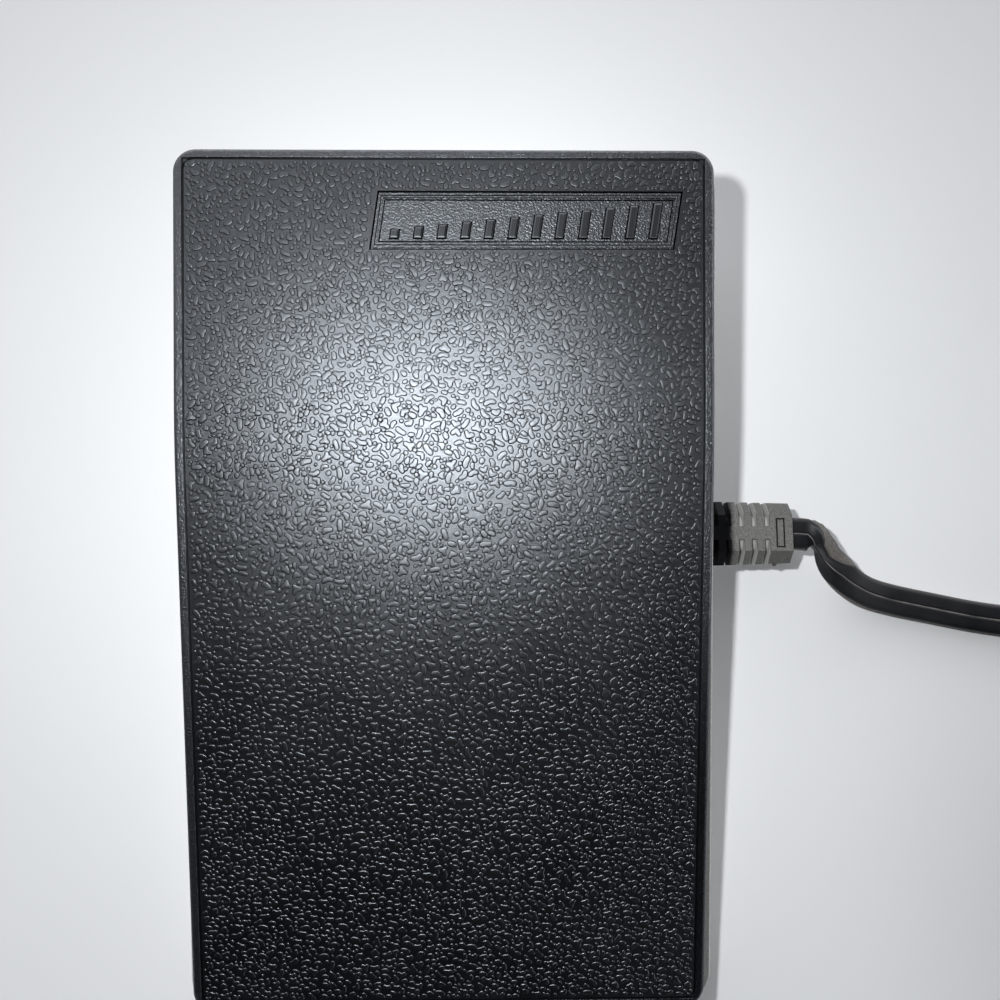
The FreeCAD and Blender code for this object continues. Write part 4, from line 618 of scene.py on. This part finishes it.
# an island's side from its foot to its flat top: how far in, how high and how much painted shade each ring
# takes
ring_insets = [-0.13 * mm, -0.06 * mm, 0.02 * mm, 0.08 * mm, 0.115 * mm]
ring_heights = [-0.01 * mm, 0.012 * mm, 0.09 * mm, 0.132 * mm, 0.137 * mm]
ring_foot_shade = [1.0, 1.0, 0.32, 0.0, 0.0]
for kind in island_forms:
    for number in range(forms_per_kind):
        if kind == "dot":
            hub = dice.uniform(0.27, 0.47) * mm
            arms = [(0.0, 0.06 * mm, hub * 0.97)]
        elif kind == "oval":
            hub = dice.uniform(0.38, 0.52) * mm
            reach = dice.uniform(0.12, 0.4) * mm
            arms = [(0.0, reach, hub * dice.uniform(0.9, 1.0)), (math.pi, reach, hub * 0.92)]
        elif kind == "bean":
            hub = dice.uniform(0.38, 0.48) * mm
            bow = dice.uniform(0.95, 1.4)
            arms = [(side * bow, dice.uniform(0.5, 0.9) * mm, hub * dice.uniform(0.85, 1.1))
                    for side in (-1, 1)]
        elif kind == "hook":
            hub = dice.uniform(0.33, 0.42) * mm
            bow = dice.uniform(0.62, 0.95)
            arms = [(side * bow, dice.uniform(0.7, 1.05) * mm, hub * dice.uniform(0.85, 1.05))
                    for side in (-1, 1)]
        else:
            hub = dice.uniform(0.38, 0.48) * mm
            arms = [(turn * third_turn + dice.uniform(-0.3, 0.3), dice.uniform(0.6, 1.0) * mm,
                     hub * dice.uniform(0.82, 1.0)) for turn in range(3)]
        outline = island_outline(hub, arms, 0.035, dice.uniform(0, 6))
        before = np.roll(outline, 1, 0)
        after = np.roll(outline, -1, 0)
        outward = np.stack([(after - before)[:, 1], -(after - before)[:, 0]], 1)
        outward /= np.hypot(*outward.T)[:, None]
        rings = [outline - outward * inset for inset in ring_insets]
        discs = [(0.0, 0.0, hub)]
        for heading, length, width in arms:
            for part in (0.55, 1.0) if length > 0.5 * mm else (1.0,):
                discs.append((part * length * math.cos(heading), part * length * math.sin(heading), width))
        island_forms[kind].append((rings, discs))

field_x = half_width - border - groove
field_y = half_length - border - groove
field_area = 4 * field_x * field_y - panel_length * panel_height
islands_per_square_metre = 0.47e6
island_count = int(islands_per_square_metre * field_area)
island_gaps = (-0.05, 0.03, 0.09, 0.14, 0.18, 0.22, 0.26)
edge_gap = 0.16 * mm
cell = 1.6 * mm
taken = {}


def is_free(discs, gap):
    for x, y, radius in discs:
        if abs(x) > field_x - radius - edge_gap or abs(y) > field_y - radius - edge_gap:
            return False
        from_middle = x - panel_right + panel_length / 2 + (panel_toe - y) * panel_lean
        across = from_middle * math.cos(math.atan(panel_lean))
        beside_panel = abs(across) < panel_length / 2 + radius + edge_gap
        if beside_panel and abs(y - panel_toe + panel_height / 2) < panel_height / 2 + radius + edge_gap:
            return False
        column, row = int(x // cell), int(y // cell)
        for near_column in (column - 1, column, column + 1):
            for near_row in (row - 1, row, row + 1):
                for other_x, other_y, other_radius in taken.get((near_column, near_row), ()):
                    if math.hypot(x - other_x, y - other_y) < radius + other_radius + gap:
                        return False
    return True


placed = []
for kind, share in island_kinds:
    for number in range(int(share * island_count)):
        rings, discs = dice.choice(island_forms[kind])
        for attempt in range(160):
            x, y = dice.uniform(-field_x, field_x), dice.uniform(-field_y, field_y)
            # the islands are a little larger in the middle of the field
            centred = (1 - (x / field_x) ** 2) * (1 - (abs(y) / field_y) ** 3)
            turn, grow = dice.uniform(0, 2 * math.pi), dice.uniform(0.8, 0.95) + 0.16 * centred
            # towards the heel most of them lie across the treadle
            if dice.random() < 0.75 * min(1, max(0, (10 * mm - y) / (50 * mm))):
                turn = lying_turn[kind] + dice.choice((0, math.pi)) + dice.gauss(0, 0.22)
            wide, deep = grow * math.cos(turn), grow * math.sin(turn)
            moved = [(x + u * wide - v * deep, y + u * deep + v * wide, radius * grow)
                     for u, v, radius in discs]
            if is_free(moved, dice.choice(island_gaps) * mm):
                for disc in moved:
                    taken.setdefault((int(disc[0] // cell), int(disc[1] // cell)), []).append(disc)
                placed.append((y, x, turn, grow, rings))
                break
placed.sort(key=lambda island: (island[0], island[1]))
grain_black = treadle_black("grain_plastic", False, 0.31, 0.35)
top_ring = len(ring_insets) - 1
part_names = ("grain_heel", "grain_lower", "grain_middle", "grain_upper", "grain_toe")
for part, part_name in enumerate(part_names):
    members = placed[part * len(placed) // len(part_names):(part + 1) * len(placed) // len(part_names)]
    corners, faces, count = [], [], 0
    for y, x, turn, grow, rings in members:
        z, slope = treadle_place(y)
        spin = grow * np.array([[math.cos(turn), -math.sin(turn)], [math.sin(turn), math.cos(turn)]])
        size = len(rings[0])
        for ring, rise in zip(rings, ring_heights):
            flat = ring @ spin.T
            corners.append(np.stack([
                x + flat[:, 0],
                y + flat[:, 1] * math.cos(slope) - rise * math.sin(slope),
                z + flat[:, 1] * math.sin(slope) + rise * math.cos(slope)], 1))
        faces.append(tuple(count + size - 1 - step for step in range(size)))
        for level in range(top_ring):
            low, high = count + level * size, count + (level + 1) * size
            for step in range(size):
                after = (step + 1) % size
                faces.append((low + step, low + after, high + after, high + step))
        faces.append(tuple(count + top_ring * size + step for step in range(size)))
        count += (top_ring + 1) * size
    mesh = bpy.data.meshes.new(part_name)
    mesh.from_pydata(np.concatenate(corners).tolist(), [], faces)
    mesh.shade_smooth()
    mesh.materials.append(grain_black)
    # how near each corner is to the island's foot, where painted shade takes the shine
    foot = mesh.attributes.new("foot", "FLOAT", "POINT")
    by_ring = [np.repeat(ring_foot_shade, len(rings[0])) for y, x, turn, grow, rings in members]
    foot.data.foreach_set("value", np.concatenate(by_ring).astype(np.float32))
    piece = bpy.data.objects.new(part_name, mesh)
    scene.collection.objects.link(piece)
    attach(piece, "treadle")

# Cord entry
# A slotted sleeve of black rubber snaps into the tray's right wall and bends with the cord. Inside, a bar of
# hard fibre and two screws clamp the cord before its leads part.
relief_y = 13 * mm
slot_start = 63.7 * mm
slot_pitch = 3 * mm
slot_share = 1.4 / 3
web_half = 1.55 * mm
slots_low, slots_high = 66 * mm, 74.2 * mm
slot_top, slot_floor = 15.97 * mm, 15.6 * mm
frame_x = 76.5 * mm
frame_half_length = 1.0 * mm
frame_half_width = 3.4 * mm
relief_rubber, tree, shader = new_material("relief_rubber", 0.62, level=0.2)
place = add_node(tree, "TexCoord").outputs["Object"]
sanded = use_group(tree, sand_group, Scale=3600.0)
axes = add_node(tree, "SeparateXYZ", Vector=place).outputs
# painted shadow: the sleeve is near black up to about 66 mm out, where the treadle's shadow falls, and dusty
# grey beyond
painted_shadow = calc(tree, "MULTIPLY_ADD", noise(tree, place, 900, 3), 0.0012, axes["X"])
painted_shadow = remap(tree, painted_shadow, 65.2 * mm, 66.6 * mm, 0, 1)
dusty = between(
    tree, remap(tree, sanded["Height"], 0.1, 0.5, 0, 1), (0.12, 0.118, 0.113), (0.2, 0.197, 0.188))
colour = colour_mix(tree, painted_shadow, (0.0015, 0.002, 0.004, 1), dusty)
facing = add_node(tree, "NewGeometry").outputs["Normal"]
upright = add_node(tree, "SeparateXYZ", Vector=facing).outputs["Z"]
lying = remap(tree, upright, 0.5, 0.95, 0.25, 1)
colour = colour_mix(tree, lying, (0.01, 0.01, 0.011, 1), colour)
# painted shade: the sleeve's edges are darkened near black as dark outlines
edges_worn_and_shaded = use_group(tree, edge_group, Radius=0.0003, Scale=1200.0)["Mask"]
colour = colour_mix(tree, calc(tree, "MULTIPLY", edges_worn_and_shaded, 0.75), colour, (0.012, 0.012, 0.013, 1))
# painted light: the slots are painted pale grey where light shows through them, and painted shade darkens
# the line of the sunk frame
from_middle = calc(tree, "ABSOLUTE", calc(tree, "SUBTRACT", axes["Y"], relief_y))
past_first = calc(tree, "SUBTRACT", axes["X"], slot_start)
slot_place = calc(tree, "FRACT", calc(tree, "DIVIDE", past_first, slot_pitch))
in_slot = calc(tree, "MULTIPLY", calc(tree, "LESS_THAN", slot_place, slot_share),
               calc(tree, "GREATER_THAN", from_middle, web_half))
in_slot = calc(tree, "MULTIPLY", in_slot, remap(tree, axes["X"], slots_low, slots_low + 0.6 * mm, 0, 1))
in_slot = calc(tree, "MULTIPLY", in_slot, calc(tree, "LESS_THAN", axes["X"], slots_high))
in_slot = calc(tree, "MULTIPLY", in_slot, remap(tree, axes["Z"], slot_top, slot_floor, 0, 1))
colour = colour_mix(tree, in_slot, colour, (0.4, 0.396, 0.385, 1))
frame_off_x = calc(tree, "ABSOLUTE", calc(tree, "SUBTRACT", axes["X"], frame_x))
off_frame = calc(tree, "MAXIMUM", calc(tree, "SUBTRACT", frame_off_x, frame_half_length),
                 calc(tree, "SUBTRACT", from_middle, frame_half_width))
off_frame_line = calc(tree, "ABSOLUTE", calc(tree, "ADD", off_frame, 0.15 * mm))
frame_line = remap(tree, off_frame_line, 0.2 * mm, 0.14 * mm, 0, 1)
colour = colour_mix(tree, frame_line, colour, (0.012, 0.012, 0.013, 1))
tree.links.new(colour, shader.inputs["Base Color"])
tree.links.new(remap(tree, sanded["Drift"], 0.3, 0.7, 0.55, 0.7), shader.inputs["Roughness"])
bump(tree, shader, sanded["Height"], 0.00003)
dress(relief_rubber, "strain_relief")
dress(moulded("hard_fibre", (0.11, 0.06, 0.032), (0.2, 0.125, 0.075), (0.6, 0.75), 1300.0, 0.00004,
              wear=(0.26, 0.18, 0.12)), "cord_clamp")

# Cord
# A flat twin cord of 7.6 by 3.8 mm in satin black PVC, two cores side by side with a groove between them. It
# leaves the sleeve flat, rolls on edge where it drops to the table, and the rest is wound in a tied coil.
run_route = [
    (79.4, 13, 12), (84.9, 13.0, 12.0), (88.6, 10.6, 11.3), (91.0, 6.4, 9.8), (94.9, 2.2, 7.4),
    (100.4, -1.0, 4.9), (107.6, -3.0, 3.1), (117.5, -5.0, 2.4), (130.0, -7.6, 2.2), (145.0, -9.4, 2.8),
    (160.0, -9.2, 3.9), (176.4, -8, 3.95), (185.4, -8, 3.85)]
tail_route = [
    (209.6, -3.3, 12.8), (217.0, -4.6, 11.2), (228.6, -9.6, 8.0), (239.0, -17.0, 5.4), (247.8, -25.4, 4.6),
    (254, -33, 6), (254, -42, 6)]
coil_x = 193.0
coil_top_y = -8.0
half_turns = [48, 45.65, 43.3, 40.95, 38.6, 40.95, 43.3, 45.65, 48, 50.35]
climb = 4
layer_rise = 8.0
coil_rest_z = 3.85
tie_lift = 0.89
tie_reach = 26
end_step = 7.6
end_lift = 0.6
points_per_half = 12
coil_middle_y = coil_top_y - half_turns[0]
coil_points = []
start_y, down = coil_top_y, 1
for number, radius in enumerate(half_turns):
    middle_y = start_y - down * radius
    for step in range(points_per_half):
        heading = math.radians(180 * step / points_per_half)
        around = 90 - math.degrees(heading) if down > 0 else 270 - math.degrees(heading)
        x = coil_x + radius * math.cos(math.radians(around))
        y = middle_y + radius * math.sin(math.radians(around))
        climbed = min(1, max(0, number - climb + step / points_per_half))
        from_tie = math.degrees(math.atan2(y - coil_middle_y, x - coil_x))
        near_tie = math.exp(-(from_tie / tie_reach) ** 2)
        coil_points.append((x, y, coil_rest_z + tie_lift * near_tie + layer_rise * climbed))
    start_y -= 2 * down * radius
    down = -down
coil_points.append((coil_x + end_step, start_y, coil_rest_z + layer_rise + end_lift))
route = [(x * mm, y * mm, z * mm) for x, y, z in run_route + coil_points + tail_route]

line = bpy.data.curves.new("cord_line", "CURVE")
line.dimensions = "3D"
spline = line.splines.new("NURBS")
spline.points.add(len(route) - 1)
for point, spot in zip(spline.points, route):
    point.co = (*spot, 1)
spline.order_u = 3
spline.use_endpoint_u = True
spline.resolution_u = 6
line_object = bpy.data.objects.new("cord_line", line)
scene.collection.objects.link(line_object)
line_mesh = bpy.data.meshes.new_from_object(line_object)
path = np.array([tuple(corner.co) for corner in line_mesh.vertices])
bpy.data.objects.remove(line_object)
gone_on = np.linalg.norm(np.diff(path, axis=0), axis=1) > 1e-6
path = path[np.concatenate([[True], gone_on])]
steps = np.linalg.norm(np.diff(path, axis=0), axis=1)
travel = np.concatenate([[0], np.cumsum(steps)])
cord_length = float(travel[-1])

# how far the flat cord is rolled on its edge, by the distance from the sleeve
coil_start_x = 176 * mm
from_coil = np.abs(path[:, 0] - coil_start_x) + np.abs(path[:, 1] - coil_top_y * mm)
coil_start = travel[np.argmin(from_coil + (path[:, 2] > layer_rise * mm))]
first_rolls = [part * mm for part in (0, 4.6, 6.4, 8.4, 11.5, 15, 19, 24)]
last_rolls = [coil_start - 34 * mm, coil_start, cord_length - 44 * mm, cord_length - 8 * mm]
roll_at = first_rolls + last_rolls
roll_by = [0, 0, 45, 92, 95, 60, 15, 0, 0, 90, 90, 0]
half_wide = 3.8 * mm
half_thick = 1.9 * mm
groove_depth = 0.35 * mm
edge_round = 1.15 * mm
section = []
for turn_middle, side in ((-45, -1), (45, 1)):
    for step in range(5):
        turn = math.radians(turn_middle - 45 + 90 * step / 4)
        section.append((
            half_wide - edge_round + edge_round * math.cos(turn) - 0.12 * mm * abs(math.sin(turn)),
            side * (half_thick - edge_round) + edge_round * math.sin(turn)))
section += [(0.9 * mm, half_thick), (0.42 * mm, half_thick), (0, half_thick - groove_depth),
            (-0.42 * mm, half_thick), (-0.9 * mm, half_thick)]
section += [(-x, -y) for x, y in section]
size = len(section)
corners = []
for number, spot in enumerate(path):
    ahead = path[min(number + 1, len(path) - 1)] - path[max(number - 1, 0)]
    ahead = Vector(ahead).normalized()
    across = Vector((0, 0, 1)).cross(ahead).normalized()
    upward = ahead.cross(across)
    roll = math.radians(float(np.interp(travel[number], roll_at, roll_by)))
    wide = across * math.cos(roll) + upward * math.sin(roll)
    thick = ahead.cross(wide)
    corners += [tuple(Vector(spot) + wide * x + thick * y) for x, y in section]
faces = [tuple(range(size))]
for number in range(len(path) - 1):
    low, high = number * size, (number + 1) * size
    for step in range(size):
        after = (step + 1) % size
        faces.append((low + step, high + step, high + after, low + after))
faces.append(tuple(reversed(range((len(path) - 1) * size, len(path) * size))))
cord_mesh = bpy.data.meshes.new("supply_cord")
cord_mesh.from_pydata(corners, [], faces)
round_run = np.concatenate([[0], np.cumsum([
    math.dist(section[step], section[(step + 1) % size]) for step in range(size)])])
# the section's points 4 and 5 are the two ends of its edge, and 12 is the bottom of its groove
edge_middle = (round_run[4] + round_run[5]) / 2
groove_middle = round_run[12]
cord_uv = cord_mesh.uv_layers.new(name="along")
for face in cord_mesh.polygons:
    closes = any(vertex % size == size - 1 for vertex in face.vertices)
    for corner, vertex in zip(face.loop_indices, face.vertices):
        ring, step = divmod(vertex, size)
        if step == 0 and closes:
            step = size
        cord_uv.data[corner].uv = (travel[ring], round_run[step])
bm = bmesh.new()
bm.from_mesh(cord_mesh)
bmesh.ops.recalc_face_normals(bm, faces=bm.faces)
bm.to_mesh(cord_mesh)
bm.free()
cord = bpy.data.objects.new("supply_cord", cord_mesh)
scene.collection.objects.link(cord)
bpy.ops.object.select_all(action="DESELECT")
cord.select_set(True)
bpy.context.view_layer.objects.active = cord
bpy.ops.object.shade_smooth_by_angle(angle=math.radians(38))
sheath, tree, shader = new_material("cord_sheath", 0.42, level=0.4)
along = add_node(tree, "UVMap", {"uv_map": "along"}).outputs[0]
drawn = noise(tree, add_node(tree, "Mapping", Vector=along, Scale=(60, 2600, 1)).outputs[0], 1.0, 4)
blotch = noise(tree, add_node(tree, "TexCoord").outputs["Object"], 160, 4)
fine = noise(tree, add_node(tree, "TexCoord").outputs["Object"], 4200, 2)
colour = between(
    tree, remap(tree, blotch, 0.3, 0.7, 0, 1), (0.004, 0.0044, 0.0065), (0.012, 0.0122, 0.014))
half_round = float(round_run[size]) / 2
around = add_node(tree, "SeparateXYZ", Vector=along).outputs["Y"]
half_turn = calc(tree, "FRACT", calc(tree, "DIVIDE", around, half_round))
to_edge = calc(tree, "ABSOLUTE", calc(tree, "SUBTRACT", half_turn, float(edge_middle) / half_round))
to_edge = calc(tree, "MINIMUM", to_edge, calc(tree, "SUBTRACT", 1.0, to_edge))
# the cord's narrow edges are paler grey-brown and rougher than its broad faces
edge_band = remap(tree, to_edge, 0.15, 0.11, 0, 1)
pale_edge_band = calc(tree, "MULTIPLY", edge_band, remap(tree, fine, 0.35, 0.6, 0.35, 1))
colour = colour_mix(tree, pale_edge_band, colour, (0.17, 0.158, 0.143, 1))
# painted highlight: the bottom of the groove is painted pale grey as a light line along it
to_groove = calc(tree, "ABSOLUTE", calc(tree, "SUBTRACT", half_turn, float(groove_middle) / half_round))
in_groove = calc(
    tree, "MULTIPLY", remap(tree, to_groove, 0.022, 0.01, 0, 1), remap(tree, blotch, 0.35, 0.55, 0.25, 1))
colour = colour_mix(tree, in_groove, colour, (0.3, 0.285, 0.27, 1))
tree.links.new(colour, shader.inputs["Base Color"])
gloss = calc(tree, "MULTIPLY_ADD", edge_band, 0.22, remap(tree, blotch, 0.3, 0.7, 0.46, 0.56))
tree.links.new(gloss, shader.inputs["Roughness"])
bump(tree, shader, calc(tree, "MULTIPLY_ADD", drawn, 0.6, calc(tree, "MULTIPLY", fine, 1.6)), 0.00002)
cord_mesh.materials.append(sheath)
dress(moulded("core_sheath", (0.012, 0.0122, 0.0135), (0.03, 0.0295, 0.029), (0.38, 0.5), 3000.0, 0.00002),
      "cord_core")
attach(cord, "base")
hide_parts("cord_run", "cord_coil", "cord_tail")

# Tie and plug
# A soft black strap holds the coil. The plug is moulded on to the cord's end, satin black, with two brass
# pins that fit the machine's inlet.
dress(moulded("tie_strap", (0.02, 0.02, 0.021), (0.042, 0.042, 0.044), (0.42, 0.55), 1500.0, 0.00006,
              wear=(0.1, 0.1, 0.1)), "cord_tie")
dress(moulded("plug_plastic", (0.017, 0.017, 0.0185), (0.03, 0.03, 0.032), (0.4, 0.52), 3200.0, 0.00003,
              wear=(0.13, 0.13, 0.13), specks=0.02), "plug_body")

# Size of the dressed pedal
low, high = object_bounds()
